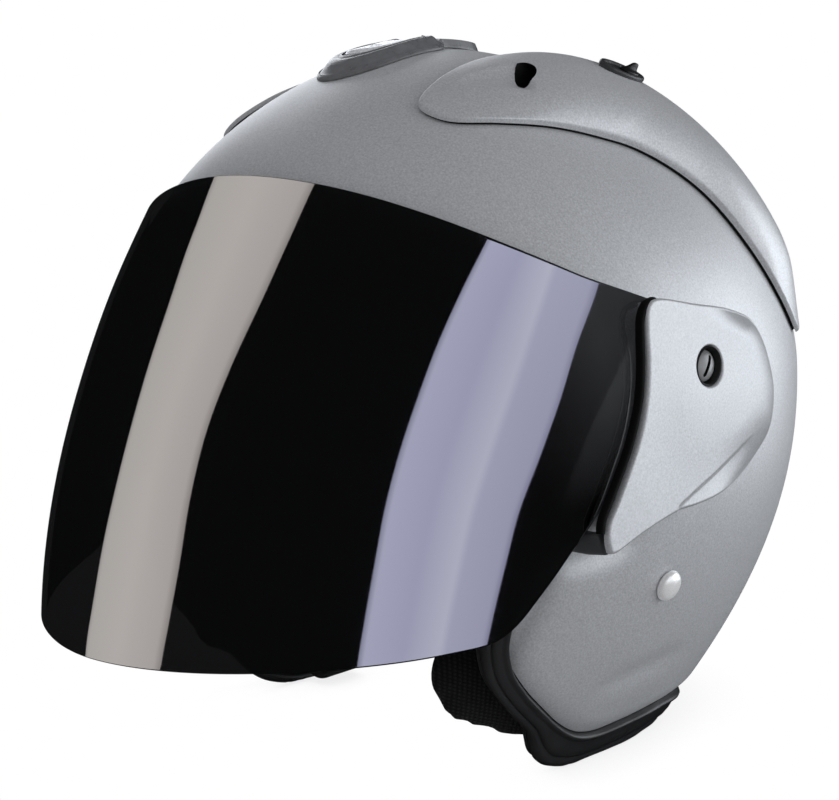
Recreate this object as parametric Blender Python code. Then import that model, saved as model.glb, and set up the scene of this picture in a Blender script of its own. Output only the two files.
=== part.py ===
# Open face motorcycle helmet with a long wrap-round face shield.
# Shell frame, millimetres, origin at the shell's centre: front is -Y, the wearer's left is +X,
# up is +Z. The finished object stands on z = 0 with its bottom centre at the world origin.
# "Azimuth" is degrees round from the front; "grow" is an offset of the shell's outer envelope.
import math

import bmesh
import bpy
import numpy as np

# ---------------------------------------------------------------- driving sizes (mm)
MM = 0.001
CENTRE_Y = 10.566  # shell centre behind the world origin
FLOOR_Z = -132.0  # world floor in the shell frame

# Envelope: half width, reach to front and back, height up and depth down
HALF_WIDTH = 124.0
FRONT = 126.3
BACK = 145.8
CROWN = 127.9
LOW = 118.0
PLAN_POWER = 2.305
DOME_POWER = 1.836
# Narrowing below the centre: share lost at LOW and its power
SIDE_TAPER, SIDE_TAPER_POWER = 0.27, 2.057
BACK_TAPER, BACK_TAPER_POWER = 0.404, 2.322
FRONT_FLARE = 0.03

SHELL_WALL = 4.0
EPS_WALL = 24.0
LINER_GAP = 2.6
LINER_OUTSIDE = -SHELL_WALL - LINER_GAP
LINER_INSIDE = LINER_OUTSIDE - EPS_WALL

PIVOT_Y, PIVOT_Z = 2.0, 13.0
SCREW_Y, SCREW_Z = -1.8, 12.2
RIVET_Y, RIVET_Z = -6.5, -64.0
EAR_RADIUS = 16.0
EAR_HOLE = 9.5
EAR_FACE = 126.9  # x of the shield's outer face at the pivots

MIRROR = np.array([-1.0, 1.0, 1.0])
X_AXIS, Y_AXIS, Z_AXIS = np.eye(3)


# ---------------------------------------------------------------- materials
def material(name, colour, metallic, roughness):
    made = bpy.data.materials.new(name)
    made.use_nodes = True
    shader = made.node_tree.nodes["Principled BSDF"]
    shader.inputs["Base Color"].default_value = (*colour, 1)
    shader.inputs["Metallic"].default_value = metallic
    shader.inputs["Roughness"].default_value = roughness
    made.diffuse_color = (*colour, 1)
    return made


for old in list(bpy.data.objects):
    bpy.data.objects.remove(old, do_unlink=True)

PAINT = material("silver_paint", colour=(0.34, 0.35, 0.36), metallic=0.6, roughness=0.45)
SMOKE = material("smoke_mirror", colour=(0.03, 0.03, 0.035), metallic=0.4, roughness=0.05)
RUBBER = material("dark_rubber", colour=(0.03, 0.03, 0.032), metallic=0.0, roughness=0.6)
FOAM = material("eps_foam", colour=(0.06, 0.06, 0.06), metallic=0.0, roughness=0.9)
CLOTH = material("black_mesh_cloth", colour=(0.012, 0.012, 0.013), metallic=0.0, roughness=0.95)
PLASTIC = material("dark_plastic", colour=(0.05, 0.05, 0.055), metallic=0.0, roughness=0.4)
CHROME = material("chrome", colour=(0.75, 0.75, 0.76), metallic=1.0, roughness=0.15)
STEEL = material("dark_steel", colour=(0.12, 0.12, 0.13), metallic=1.0, roughness=0.3)
WEBBING = material("black_webbing", colour=(0.02, 0.02, 0.022), metallic=0.0, roughness=0.85)


# ---------------------------------------------------------------- vectors and curves
def smooth(t):
    """Eased step from 0 at t = 0 to 1 at t = 1."""
    t = np.clip(t, 0.0, 1.0)
    return t * t * (3 - 2 * t)


def unit(vectors):
    vectors = np.asarray(vectors, float)
    return vectors / np.linalg.norm(vectors, axis=-1, keepdims=True)


def quarter_turn(run):
    """2D vectors turned a quarter turn anticlockwise."""
    return np.stack([-run[..., 1], run[..., 0]], -1)


def both_sides(half):
    """Closes a half outline, which starts and ends on the centre plane, with its mirror image."""
    half = np.asarray(half, float)
    return np.concatenate([half, half[-2:0:-1] * MIRROR[: half.shape[1]]])


def spline(points, count, closed=False):
    """Catmull-Rom through the points, resampled at equal steps of length."""
    points = np.asarray(points, float)
    total = len(points)
    spans = total if closed else total - 1

    def knot(i):
        return points[i % total if closed else min(max(i, 0), spans)]

    t = np.linspace(0, 1, 24, endpoint=False)[:, None]
    fine = []
    for i in range(spans):
        before, start, end, after = (knot(i + step) for step in (-1, 0, 1, 2))
        square = 2 * before - 5 * start + 4 * end - after
        cube = 3 * start - before - 3 * end + after
        fine.extend(0.5 * (2 * start + (end - before) * t + square * t**2 + cube * t**3))
    fine.append(knot(spans))
    fine = np.array(fine)
    steps = np.linalg.norm(np.diff(fine, axis=0), axis=1)
    run = np.concatenate([[0], np.cumsum(steps)])
    wanted = np.linspace(0, run[-1], count + (1 if closed else 0))
    even = np.stack([np.interp(wanted, run, column) for column in fine.T], -1)
    return even[:-1] if closed else even


def slerp(pole, rim, shares):
    """Directions from the pole to each rim point, at each share of the way: (rim, shares, 3)."""
    pole, rim = unit(pole), unit(rim)
    angle = np.arccos(np.clip(rim @ pole, -1, 1))[:, None, None]
    t = shares[None, :, None]
    return (np.sin((1 - t) * angle) * pole + np.sin(t * angle) * rim[:, None, :]) / np.sin(angle)


def rays(starts, ends, shares):
    """Points at each share of the way along straight lines: (ends, shares, axes)."""
    starts, ends = np.asarray(starts)[..., None, :], ends[..., None, :]
    return starts + (ends - starts) * shares[:, None]


def oval(centre, axis_a, axis_b, half_a, half_b, count):
    angle = np.linspace(0, 2 * math.pi, count, endpoint=False)[:, None]
    return centre + axis_a * half_a * np.cos(angle) + axis_b * half_b * np.sin(angle)


# ---------------------------------------------------------------- the shell's envelope
def reaches(z, grow=0.0):
    """Half width, front reach and back reach of the envelope at height z."""
    t = np.clip(-z, 0, None) / LOW
    side = HALF_WIDTH * (1 - SIDE_TAPER * t**SIDE_TAPER_POWER) + grow
    front = FRONT * (1 + FRONT_FLARE * t**2) + grow
    back = BACK * (1 - np.clip(BACK_TAPER * t**BACK_TAPER_POWER, 0, 0.8)) + grow
    return side, front, back


def plan_limit(z, grow=0.0):
    """What the plan terms add up to on the envelope at height z."""
    rise = (np.clip(z, 0, None) / (CROWN + grow)) ** DOME_POWER
    return np.clip(1 - rise, 1e-9, 1) ** (PLAN_POWER / DOME_POWER)


def level(points, grow=0.0):
    """Below zero inside the envelope, above zero outside."""
    x, y, z = points[..., 0], points[..., 1], points[..., 2]
    side, front, back = reaches(z, grow)
    plan = (np.abs(x) / side) ** PLAN_POWER
    plan = plan + (np.abs(y) / np.where(y < 0, front, back)) ** PLAN_POWER
    rise = (np.clip(z, 0, None) / (CROWN + grow)) ** DOME_POWER
    return (plan ** (DOME_POWER / PLAN_POWER) + rise) ** (1 / DOME_POWER) - 1


def on_shell(directions, grow=0.0):
    """The envelope point along each direction from the shell centre, found by bisection."""
    directions = unit(directions)
    near = np.full(directions.shape[:-1], 20.0)
    far = np.full(directions.shape[:-1], 320.0)
    for _ in range(34):
        middle = (near + far) / 2
        outside = level(directions * middle[..., None], grow) > 0
        far = np.where(outside, middle, far)
        near = np.where(outside, near, middle)
    return directions * near[..., None]


def side_x(y, z):
    """Half width of the envelope at a side-view position."""
    y, z = np.asarray(y, float), np.asarray(z, float)
    side, front, back = reaches(z)
    left_over = plan_limit(z) - (np.abs(y) / np.where(y < 0, front, back)) ** PLAN_POWER
    return side * np.clip(left_over, 1e-9, None) ** (1 / PLAN_POWER)


def top_z(x, y):
    """Height of the envelope over a plan position."""
    reach = np.where(np.asarray(y) < 0, FRONT, BACK)
    plan = (np.abs(x) / HALF_WIDTH) ** PLAN_POWER + (np.abs(y) / reach) ** PLAN_POWER
    return CROWN * np.clip(1 - plan ** (DOME_POWER / PLAN_POWER), 0, 1) ** (1 / DOME_POWER)


def at_azimuth(azimuth, z, grow=0.0):
    """The envelope point at an azimuth and height."""
    azimuth, z = np.radians(azimuth), np.asarray(z, float)
    side, front, back = reaches(z, grow)
    sine, cosine = np.sin(azimuth), np.cos(azimuth)
    plan = (np.abs(sine) / side) ** PLAN_POWER
    plan = plan + (np.abs(cosine) / np.where(cosine > 0, front, back)) ** PLAN_POWER
    radius = (plan_limit(z, grow) / plan) ** (1 / PLAN_POWER)
    return np.stack([radius * sine, -radius * cosine, z], -1)


def edge_curve(edge, grow, count, closed=False):
    """A smooth curve through a table of (azimuth, height) on the envelope."""
    azimuths, heights = np.transpose(edge)
    return spline(at_azimuth(azimuths, heights, grow), count, closed)


def normals(points):
    step = 0.05
    slope = [level(points + axis * step) - level(points - axis * step) for axis in np.eye(3)]
    return unit(np.stack(slope, -1))


# ---------------------------------------------------------------- objects
def place(points):
    """Shell frame in millimetres to world metres."""
    return (np.asarray(points, float) + [0.0, CENTRE_Y, -FLOOR_Z]) * MM


def add_piece(name, shape, mat, origin=None, merge=None):
    """Makes one closed object from a shape, which is its points and faces in the shell frame."""
    points, faces = shape
    location = np.zeros(3) if origin is None else place(origin)
    mesh = bpy.data.meshes.new(name)
    corners = [tuple(int(i) for i in face) for face in faces]
    mesh.from_pydata((place(points) - location).tolist(), [], corners)
    work = bmesh.new()
    work.from_mesh(mesh)
    if merge:
        bmesh.ops.remove_doubles(work, verts=work.verts, dist=merge * MM)
    bmesh.ops.recalc_face_normals(work, faces=work.faces)
    if work.calc_volume(signed=True) < 0:
        bmesh.ops.reverse_faces(work, faces=work.faces)
    work.to_mesh(mesh)
    work.free()
    mesh.materials.append(mat)
    made = bpy.data.objects.new(name, mesh)
    made.location = location
    bpy.context.scene.collection.objects.link(made)
    return made


def mirror_shape(shape):
    points, faces = shape
    return points * MIRROR, [face[::-1] for face in faces]


def add_pair(name, shape, mat, origin=None):
    """The wearer's left piece and its right twin."""
    left = add_piece(name + "_left", shape, mat, origin)
    twin_origin = None if origin is None else origin * MIRROR
    right = add_piece(name + "_right", mirror_shape(shape), mat, twin_origin)
    return left, right


def subtract(target, cutter, label):
    cutter.hide_render = True
    cutter.display_type = "WIRE"
    cut = target.modifiers.new(label, "BOOLEAN")
    cut.operation = "DIFFERENCE"
    cut.solver = "EXACT"
    cut.object = cutter


# ---------------------------------------------------------------- shapes
def stacked(sheet):
    """A sheet (around, along, 3) as a list of points, ring by ring."""
    return sheet.transpose(1, 0, 2).reshape(-1, 3)


def fan_and_rings(around, along, first):
    """A fan about the pole at index first, then quads out to the last ring."""

    def at(k, j):
        return first + 1 + j * around + k % around

    faces = [(first, at(k, 0), at(k + 1, 0)) for k in range(around)]
    for j in range(along - 1):
        for k in range(around):
            faces.append((at(k, j), at(k, j + 1), at(k + 1, j + 1), at(k + 1, j)))
    return faces


def pillow(outer_pole, outer, inner_pole, inner, band=None):
    """Two polar sheets (around, along, 3) joined along their last rings.

    band is how many quads of the join are made, all round by default.
    """
    around, along = outer.shape[:2]
    points = np.concatenate([outer_pole[None], stacked(outer), inner_pole[None], stacked(inner)])
    second = 1 + around * along
    faces = fan_and_rings(around, along, 0)
    faces += [face[::-1] for face in fan_and_rings(around, along, second)]
    a = 1 + (along - 1) * around
    b = second + a
    for k in range(around if band is None else band):
        q = (k + 1) % around
        faces.append((a + k, b + k, b + q, a + q))
    return points, faces


def shell_layer(pole, rim, shares, grow, depth, band=None):
    """A pillow that follows the envelope; depth is a function of the share of the way out."""
    directions = slerp(pole, rim, shares)
    return pillow(
        on_shell(pole, grow),
        on_shell(directions, grow),
        on_shell(pole, grow - depth(0.0)),
        on_shell(directions, grow - depth(shares)),
        band,
    )


def annulus(outer, inner):
    """A closed body between two sheets (around, along, 3) that both have a hole."""
    n, m = outer.shape[:2]
    second, last = n * m, (m - 1) * n
    faces = []
    for j in range(m - 1):
        near, far = j * n, (j + 1) * n
        for k in range(n):
            q = (k + 1) % n
            faces.append((near + k, far + k, far + q, near + q))
            faces.append((second + near + k, second + near + q, second + far + q, second + far + k))
    for k in range(n):
        q = (k + 1) % n
        faces.append((k, q, second + q, second + k))
        faces.append((last + k, second + last + k, second + last + q, last + q))
    return np.concatenate([stacked(outer), stacked(inner)]), faces


def sweep(sections, closed=False):
    """A tube through sections (stations, around, 3), capped unless closed."""
    sections = np.asarray(sections, float)
    stations, n = sections.shape[:2]
    faces = []
    for i in range(stations if closed else stations - 1):
        a, b = i * n, (i + 1) % stations * n
        faces += [(a + k, a + (k + 1) % n, b + (k + 1) % n, b + k) for k in range(n)]
    if not closed:
        faces.append(tuple(range(n))[::-1])
        faces.append(tuple((stations - 1) * n + k for k in range(n)))
    return sections.reshape(-1, 3), faces


def flat_band(line, thickness, axis, start, stop):
    """A bar along a line in the plane across an axis, from start to stop on that axis."""
    half = quarter_turn(unit(np.gradient(line, axis=0))) * thickness / 2
    one, two = line - half, line + half
    corners = [(one, start), (two, start), (two, stop), (one, stop)]
    return sweep(np.stack([np.insert(edge, axis, at, axis=1) for edge, at in corners], axis=1))


def lathe(profile, base, axis, around):
    """A solid of revolution: profile is (radius, height) from the axis and back to it."""
    axis = unit(axis)
    side = unit(np.cross(axis, [0.0, 0.31, 0.95]))
    up = np.cross(axis, side)
    points, faces, rows = [], [], []
    for radius, height in profile:
        ring = oval(base + axis * height, side, up, radius, radius, around)
        if radius == 0:
            ring = ring[:1]
        rows.append(range(len(points), len(points) + len(ring)))
        points.extend(ring)
    for a, b in zip(rows[:-1], rows[1:]):
        for k in range(around):
            q = (k + 1) % around
            if len(a) == 1:
                faces.append((a[0], b[k], b[q]))
            elif len(b) == 1:
                faces.append((a[k], b[0], a[q]))
            else:
                faces.append((a[k], b[k], b[q], a[q]))
    return np.array(points), faces


def disc(radius, start, stop, base, axis, around):
    """A cylinder between two heights along an axis."""
    return lathe([(0, start), (radius, start), (radius, stop), (0, stop)], base, axis, around)


# ---------------------------------------------------------------- shell and liner
# (azimuth, height) from the brow down the face opening and round the cheek to the nape
RIM = [
    (0, 58), (20, 57.5), (38, 54), (52, 44), (61, 28), (65.5, 8), (66, -14),
    (63.5, -36), (58.5, -54), (55.5, -70), (55.8, -82), (58.4, -92), (62.6, -102),
    (67.4, -111), (73, -117.5), (80, -120.4), (90, -120.2), (103, -119.6),
    (120, -121.4), (150, -124.4), (180, -125.4),
]
# (azimuth, height) from the brow to the nape
LINER_EDGE = [
    (0, 64), (20, 63), (38, 60), (54, 50), (64, 33), (70, 10), (73, -12),
    (80, -30), (95, -38), (112, -46), (130, -62), (150, -78), (180, -84),
]
DOME_POLE = np.array([0.92, 0.14, 0.36])  # direction the left half's mesh fans out from


def add_dome(name, mat, edge, grow, wall, arc_count, edge_count, rings):
    """An open dome: its left half, closed over the crown in the centre plane, and its mirror."""
    rim = edge_curve(edge, grow, edge_count)
    nape, brow = np.arctan2(rim[[-1, 0], 2], rim[[-1, 0], 1])
    angle = np.linspace(nape, brow, arc_count + 2)[1:-1]
    arc = np.stack([0 * angle, np.cos(angle), np.sin(angle)], -1)
    boundary = np.concatenate([rim, arc])
    shares = np.linspace(0, 1, rings + 1)[1:]
    half = shell_layer(DOME_POLE, boundary, shares, grow, lambda share: wall, len(rim) - 1)
    points, faces = half
    twin_points, twin_faces = mirror_shape(half)
    total = len(points)
    faces = faces + [tuple(i + total for i in face) for face in twin_faces]
    add_piece(name, (np.concatenate([points, twin_points]), faces), mat, merge=0.01)


def add_shell():
    add_dome("shell", PAINT, RIM, 0.0, SHELL_WALL, arc_count=20, edge_count=36, rings=7)


def add_liner():
    add_dome("eps_liner", FOAM, LINER_EDGE, LINER_OUTSIDE, EPS_WALL,
             arc_count=16, edge_count=24, rings=6)


# ---------------------------------------------------------------- edge trim
# How far the trim reaches in from the rim, by place
TRIM_BROW_HEIGHT = 5.5
TRIM_CHEEK_HEIGHT = 9.6
TRIM_BASE_HEIGHT = 17.0
TRIM_BROW_SINK = 1.3  # the outside of the trim lies this much lower at the brow
# Section: fixed distance past the rim, share of the height added to it, distance off the shell
TRIM_PROFILE = np.array([
    (0.5, 0, 0.0), (2.0, 0, 0.7), (0, 0.55, 0.6), (0, 0.93, -1.5),
    (0, 1.0, -4.0), (0, 0.96, -7.0), (2.0, 0, -8.2), (0.5, 0, -5.6),
])


def add_edge_trim():
    loop = both_sides(edge_curve(RIM, 0.0, 44))
    along = unit(np.roll(loop, -1, axis=0) - np.roll(loop, 1, axis=0))
    normal = normals(loop)
    normal = unit(normal - (normal * along).sum(-1, keepdims=True) * along)
    # "past" points off the rim, away from the shell's own surface
    past = np.cross(along, normal)
    pole = on_shell(DOME_POLE)
    to_shell = np.where(loop[:, :1] >= 0, pole, pole * MIRROR) - loop
    past *= np.where((past * to_shell).sum(-1, keepdims=True) > 0, -1.0, 1.0)

    z = loop[:, 2:]
    lowness = smooth((20.0 - z) / 90.0)
    height = TRIM_BROW_HEIGHT + (TRIM_CHEEK_HEIGHT - TRIM_BROW_HEIGHT) * lowness
    height = height + (TRIM_BASE_HEIGHT - TRIM_CHEEK_HEIGHT) * smooth((-z - 105.0) / 13.0)
    fixed, share, lift = TRIM_PROFILE.T
    reach = fixed + share * height
    lift = lift - np.where(lift > -2, TRIM_BROW_SINK * (1 - lowness), 0.0)
    sections = loop[:, None] + past[:, None] * reach[..., None] + normal[:, None] * lift[..., None]
    sections[..., 2] = np.maximum(sections[..., 2], FLOOR_Z)
    add_piece("edge_trim", sweep(sections, closed=True), RUBBER)


# ---------------------------------------------------------------- comfort lining
# (azimuth, height) from the front to the back
CROWN_EDGE = [(0, 62), (30, 60), (60, 52), (90, 46), (120, 34), (150, 16), (180, 8)]
CROWN_GROW = LINER_INSIDE - 2.4
# (azimuth, height) all round the left cheek pad
CHEEK_EDGE = [
    (71, -22), (66, -36), (58, -54), (48, -68), (41.5, -80), (40.5, -92),
    (43.5, -102), (50, -111), (60, -118), (74, -121), (90, -121), (103, -116),
    (110, -102), (112, -84), (108, -62), (100, -48), (84, -40), (76, -30),
]
CHEEK_GROW = -SHELL_WALL - 9.4
CHEEK_FLOOR_GAP = 6.5
NECK_Z = -103.0
NECK_INSET = 17.5  # centre of the roll from the shell's inner face
NECK_HALF_DEPTH, NECK_HALF_HEIGHT = 9.5, 11.0


def add_crown_pad():
    rim = both_sides(edge_curve(CROWN_EDGE, CROWN_GROW, 14))
    pole = np.array([0.0, 0.02, 1.0])
    shares = np.linspace(0, 1, 6)[1:]
    pad = shell_layer(pole, rim, shares, CROWN_GROW, lambda share: 9.0 - 5.0 * share**4)
    add_piece("crown_pad", pad, CLOTH)


def add_cheek_pads():
    rim = edge_curve(CHEEK_EDGE, CHEEK_GROW, 30, closed=True)
    pole = at_azimuth(80, -82, CHEEK_GROW)
    shares = np.linspace(0, 1, 7)[1:]
    points, faces = shell_layer(pole, rim, shares, CHEEK_GROW,
                                lambda share: 31.0 - 22.0 * smooth((share - 0.35) / 0.65))
    points[:, 2] = np.maximum(points[:, 2], FLOOR_Z + CHEEK_FLOOR_GAP)
    add_pair("cheek_pad", (points, faces), CLOTH)


def add_neck_roll():
    """A padded roll round the back, inside the shell's lower edge."""
    sections = []
    for azimuth in np.linspace(119, 241, 25):
        wall = at_azimuth(azimuth, NECK_Z, -SHELL_WALL)
        outward = unit(normals(wall) * [1, 1, 0])
        centre = wall - outward * NECK_INSET
        sections.append(oval(centre, outward, Z_AXIS, NECK_HALF_DEPTH, NECK_HALF_HEIGHT, 12))
    add_piece("neck_roll", sweep(sections), CLOTH)


# ---------------------------------------------------------------- face shield
SHIELD_WALL = 2.0
SHIELD_POWER = 1.897  # of the plan curve
# Coefficients by rising power of z / 70
SHIELD_HALF = (129.0, -11.92)
SHIELD_FRONT = (149.3, -29.03, -11.68)
# Height of the top edge: coefficients by rising power of y / 100
SHIELD_TOP = (28.09, -26.6, 29.96)
# Lower edge (y, z) from the front to the pivot
SHIELD_LOWER = np.array([
    (-169.0, -71.2), (-140.0, -69.2), (-116.0, -67.4), (-102.0, -65.8), (-93.6, -64.6),
    (-88.5, -62.6), (-83.0, -58.6), (-76.4, -52.1), (-70.0, -45.8), (-64.0, -39.7),
    (-57.5, -33.6), (-50.0, -26.5), (-41.0, -18.0), (-32.0, -11.0), (-22.0, -6.2),
    (-12.0, -3.8), (2.0, -3.0),
])
SHIELD_SWELL = 3.6  # bulge of the side panels
SWELL_Y, SWELL_Z = -68.0, 30.0
SWELL_LENGTH, SWELL_HEIGHT = 34.0, 26.0
# Radii about the pivot between which the panel flattens into the ear
EAR_FLAT, EAR_BLEND = 24.0, 58.0
EAR_TOP_BLEND = 16.0  # length over which the top edge runs into the ear
SIDE_ANGLE = math.radians(52.0)  # plan angle where the side panels take over
FRONT_COLUMNS, SIDE_COLUMNS, SHIELD_ROWS = 12, 15, 8


def shield_half(z):
    return SHIELD_HALF[0] + SHIELD_HALF[1] * z / 70.0


def shield_front(z):
    s = z / 70.0
    return SHIELD_FRONT[0] + SHIELD_FRONT[1] * s + SHIELD_FRONT[2] * s * s


def shield_x(y, z):
    """Half width of the shield's outer face where it runs alongside the shell."""
    ahead = np.clip(-y, 0, None) / shield_front(z)
    plain = np.clip(1 - ahead**SHIELD_POWER, 0, None) ** (1 / SHIELD_POWER) * shield_half(z)
    off_y, off_z = (y - SWELL_Y) / SWELL_LENGTH, (z - SWELL_Z) / SWELL_HEIGHT
    swell = SHIELD_SWELL * np.exp(-(off_y**2) - off_z**2)
    radius = np.hypot(y - PIVOT_Y, z - PIVOT_Z)
    ear = smooth((EAR_BLEND - radius) / (EAR_BLEND - EAR_FLAT))
    return (plain + swell) * (1 - ear) + EAR_FACE * ear


def shield_point(angle, z):
    """Outer face at a plan angle (0 front centre, 90 degrees beside the pivots) and height."""
    x = shield_half(z) * math.sin(angle) ** (2 / SHIELD_POWER)
    y = -shield_front(z) * math.cos(angle) ** (2 / SHIELD_POWER)
    if y > -140.0:
        x = shield_x(y, z)
    return np.array([x, y, z])


def ear_half_height(y):
    return math.sqrt(max(EAR_RADIUS**2 - max(y - PIVOT_Y, 0) ** 2, 0))


def shield_top(y):
    s = y / 100.0
    edge = SHIELD_TOP[0] + SHIELD_TOP[1] * s + SHIELD_TOP[2] * s * s
    ear = smooth((y + EAR_TOP_BLEND) / EAR_TOP_BLEND)
    return edge * (1 - ear) + (PIVOT_Z + ear_half_height(y)) * ear


def shield_low(y):
    if y > PIVOT_Y:
        return PIVOT_Z - ear_half_height(y)
    return float(np.interp(y, *SHIELD_LOWER.T))


def shield_height(y, share):
    """Height at a share of the way from the lower edge to the top edge."""
    low = shield_low(y)
    return low + (shield_top(y) - low) * share


def shield_on_angle(angle, share):
    """Outer face on a plan angle; y depends on z, so the height is found by iteration."""
    z = 0.0
    for _ in range(40):
        z = 0.5 * z + 0.5 * shield_height(shield_point(angle, z)[1], share)
    return shield_point(angle, z)


def shield_columns():
    """Outer-face grid from the front centre to the end of the left ear."""
    shares = [j / (SHIELD_ROWS - 1) for j in range(SHIELD_ROWS)]
    grid = []
    for i in range(FRONT_COLUMNS):
        angle = i / FRONT_COLUMNS * SIDE_ANGLE
        grid.append([shield_on_angle(angle, share) for share in shares])
    # the side columns straighten to constant y at the ear
    first_y = [shield_on_angle(SIDE_ANGLE, share)[1] for share in shares]
    end_y = PIVOT_Y + EAR_RADIUS * 0.985
    for i in range(SIDE_COLUMNS + 1):
        progress = math.sin(i / SIDE_COLUMNS * math.pi / 2)
        column = []
        for share, start_y in zip(shares, first_y):
            y = start_y + (end_y - start_y) * progress
            z = shield_height(y, share)
            column.append(np.array([shield_x(y, z), y, z]))
        grid.append(column)
    return np.array(grid)


def shield_inner(grid):
    """The outer grid moved in by the wall: along its normals, but straight in x at the ears."""
    normal = unit(np.cross(np.gradient(grid, axis=0), np.gradient(grid, axis=1)))
    normal *= np.sign((grid * normal).sum(-1, keepdims=True))
    inner = grid - normal * SHIELD_WALL
    straight = grid - np.sign(grid[..., :1]) * X_AXIS * SHIELD_WALL
    radius = np.hypot(grid[..., 1] - PIVOT_Y, grid[..., 2] - PIVOT_Z)[..., None]
    ear = smooth((40.0 - radius) / 16.0)
    on_side = np.abs(grid[..., :1]) > 100
    return np.where(on_side, inner * (1 - ear) + straight * ear, inner)


def grid_slab(outer, inner):
    """A closed body between two grids (columns, rows, 3)."""
    cols, rows = outer.shape[:2]

    def at(i, j, sheet):
        return sheet * cols * rows + i * rows + j

    end, top = cols - 1, rows - 1
    faces = []
    for i in range(end):
        for j in range(top):
            faces.append((at(i, j, 0), at(i + 1, j, 0), at(i + 1, j + 1, 0), at(i, j + 1, 0)))
            faces.append((at(i, j, 1), at(i, j + 1, 1), at(i + 1, j + 1, 1), at(i + 1, j, 1)))
        faces.append((at(i, 0, 0), at(i, 0, 1), at(i + 1, 0, 1), at(i + 1, 0, 0)))
        faces.append((at(i, top, 0), at(i + 1, top, 0), at(i + 1, top, 1), at(i, top, 1)))
    for j in range(top):
        faces.append((at(0, j, 0), at(0, j + 1, 0), at(0, j + 1, 1), at(0, j, 1)))
        faces.append((at(end, j, 0), at(end, j, 1), at(end, j + 1, 1), at(end, j + 1, 0)))
    return np.concatenate([outer.reshape(-1, 3), inner.reshape(-1, 3)]), faces


def add_face_shield():
    left = shield_columns()
    outer = np.concatenate([left[:0:-1] * MIRROR, left])
    slab = grid_slab(outer, shield_inner(outer))
    shield = add_piece("face_shield", slab, SMOKE, origin=(0, PIVOT_Y, PIVOT_Z))
    base = np.array([126.0, PIVOT_Y, PIVOT_Z])
    left_cutter, right_cutter = add_pair(
        "cut_ear", disc(EAR_HOLE, -12, 12, base, X_AXIS, around=28), SMOKE)
    for cutter in (right_cutter, left_cutter):
        subtract(shield, cutter, "ear_hole")


# ---------------------------------------------------------------- pivots
HUB_RADIUS = 9.1
HUB_BASE_X = HALF_WIDTH + 0.4
HUB_TOP_X = EAR_FACE + 0.3
PLATE_RADIUS, PLATE_THICKNESS = 12.5, 0.7
PLATE_X = HUB_TOP_X + 0.3


def add_pivots():
    base = np.array([HUB_BASE_X, PIVOT_Y, PIVOT_Z])
    hub = disc(HUB_RADIUS, 0, HUB_TOP_X - HUB_BASE_X, base, X_AXIS, around=28)
    add_pair("pivot_hub", hub, PLASTIC)
    base = np.array([PLATE_X, PIVOT_Y, PIVOT_Z])
    add_pair("pivot_plate", disc(PLATE_RADIUS, 0, PLATE_THICKNESS, base, X_AXIS, 28), STEEL)


# ---------------------------------------------------------------- side covers
# Outline (y, z) of the left cover
COVER_EDGE = [
    (-26, 37.0), (-7.3, 33.6), (11, 30.6), (25.2, 27.6), (34.5, 24.5), (40.5, 17.8),
    (44.5, 7.8), (46.9, -3.5), (44.5, -14.5), (38.1, -20.9), (25.8, -27.3), (8, -31.6),
    (-8.7, -33.6), (-22, -34.2), (-39.0, -37.8), (-52.5, -41.6), (-55.5, -39.4),
    (-55.3, -32.5), (-50.0, -25.0), (-44.6, -17.0), (-39.2, -8.0), (-35.6, 1.0),
    (-33.6, 10.5), (-33.0, 19.2), (-33.2, 27.8), (-32.0, 35.0),
]
COVER_SHARES = np.array([0, 0.2, 0.48, 0.7, 0.86, 0.95, 1.0])  # rings from hole to edge
COVER_WALL = 2.2
COVER_FACE = 131.6  # least x of the flat part
COVER_RISE = 8.6  # outer face above the shell, where that is further out
COVER_HOLE = 6.9
COVER_EDGE_LIFT = 0.6 + COVER_WALL + 0.4  # outer face above the shell at the rear edge

SCREW_BASE_X = 128.6
SCREW_RADIUS, SCREW_TOP_RADIUS = 6.3, 5.4
SLOT_HALF_LENGTH, SLOT_HALF_WIDTH = 7.0, 0.8
SLOT_ANGLE = math.radians(62)  # from +Y towards +Z

# Line (y, z) of the black lip under the cover's front edge, before it is moved back
LIP_LINE = [(-28.0, 34.0), (-29.6, 27), (-29.8, 17), (-31.6, 4), (-36, -8),
            (-42.5, -19.5), (-50.5, -32)]
LIP_SHIFT_Y = 0.6
LIP_WIDTH = 3.4
LIP_INNER_X, LIP_OUTER_X = 128.5, 129.05

# Outline (y, z) of the block below the cover's front tip
STOP_EDGE = [(-58.0, -37.8), (-56.2, -35.6), (-51.0, -36.0), (-49.8, -39.0),
             (-50.2, -42.6), (-54.3, -43.2), (-56.2, -41.3)]
STOP_FACE_X = 126.5
STOP_SHELL_GAP = 0.5


def cover_face(y, z, share, edge_y):
    """x of the cover's outer face; towards a rear edge it rolls down to the shell."""
    shell = side_x(y, z)
    over_shell = shell + COVER_RISE
    # rounded maximum of the two levels
    gap = np.sqrt((over_shell - COVER_FACE) ** 2 + 1.0)
    plateau = 0.5 * (over_shell + COVER_FACE + gap)
    rear = smooth((edge_y - 2.0) / 26.0)
    roll = rear * smooth((share - 0.66) / 0.34) ** 1.4
    return plateau * (1 - roll) + (shell + COVER_EDGE_LIFT) * roll


def add_side_covers():
    edge = spline(COVER_EDGE, 40, closed=True)
    screw = np.array([SCREW_Y, SCREW_Z])
    hole = screw + unit(edge - screw) * COVER_HOLE
    side_view = rays(hole, edge, COVER_SHARES)
    x = cover_face(side_view[..., 0], side_view[..., 1], COVER_SHARES, edge[:, :1])
    outer = np.dstack([x, side_view])
    add_pair("side_cover", annulus(outer, outer - X_AXIS * COVER_WALL), PAINT)


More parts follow.
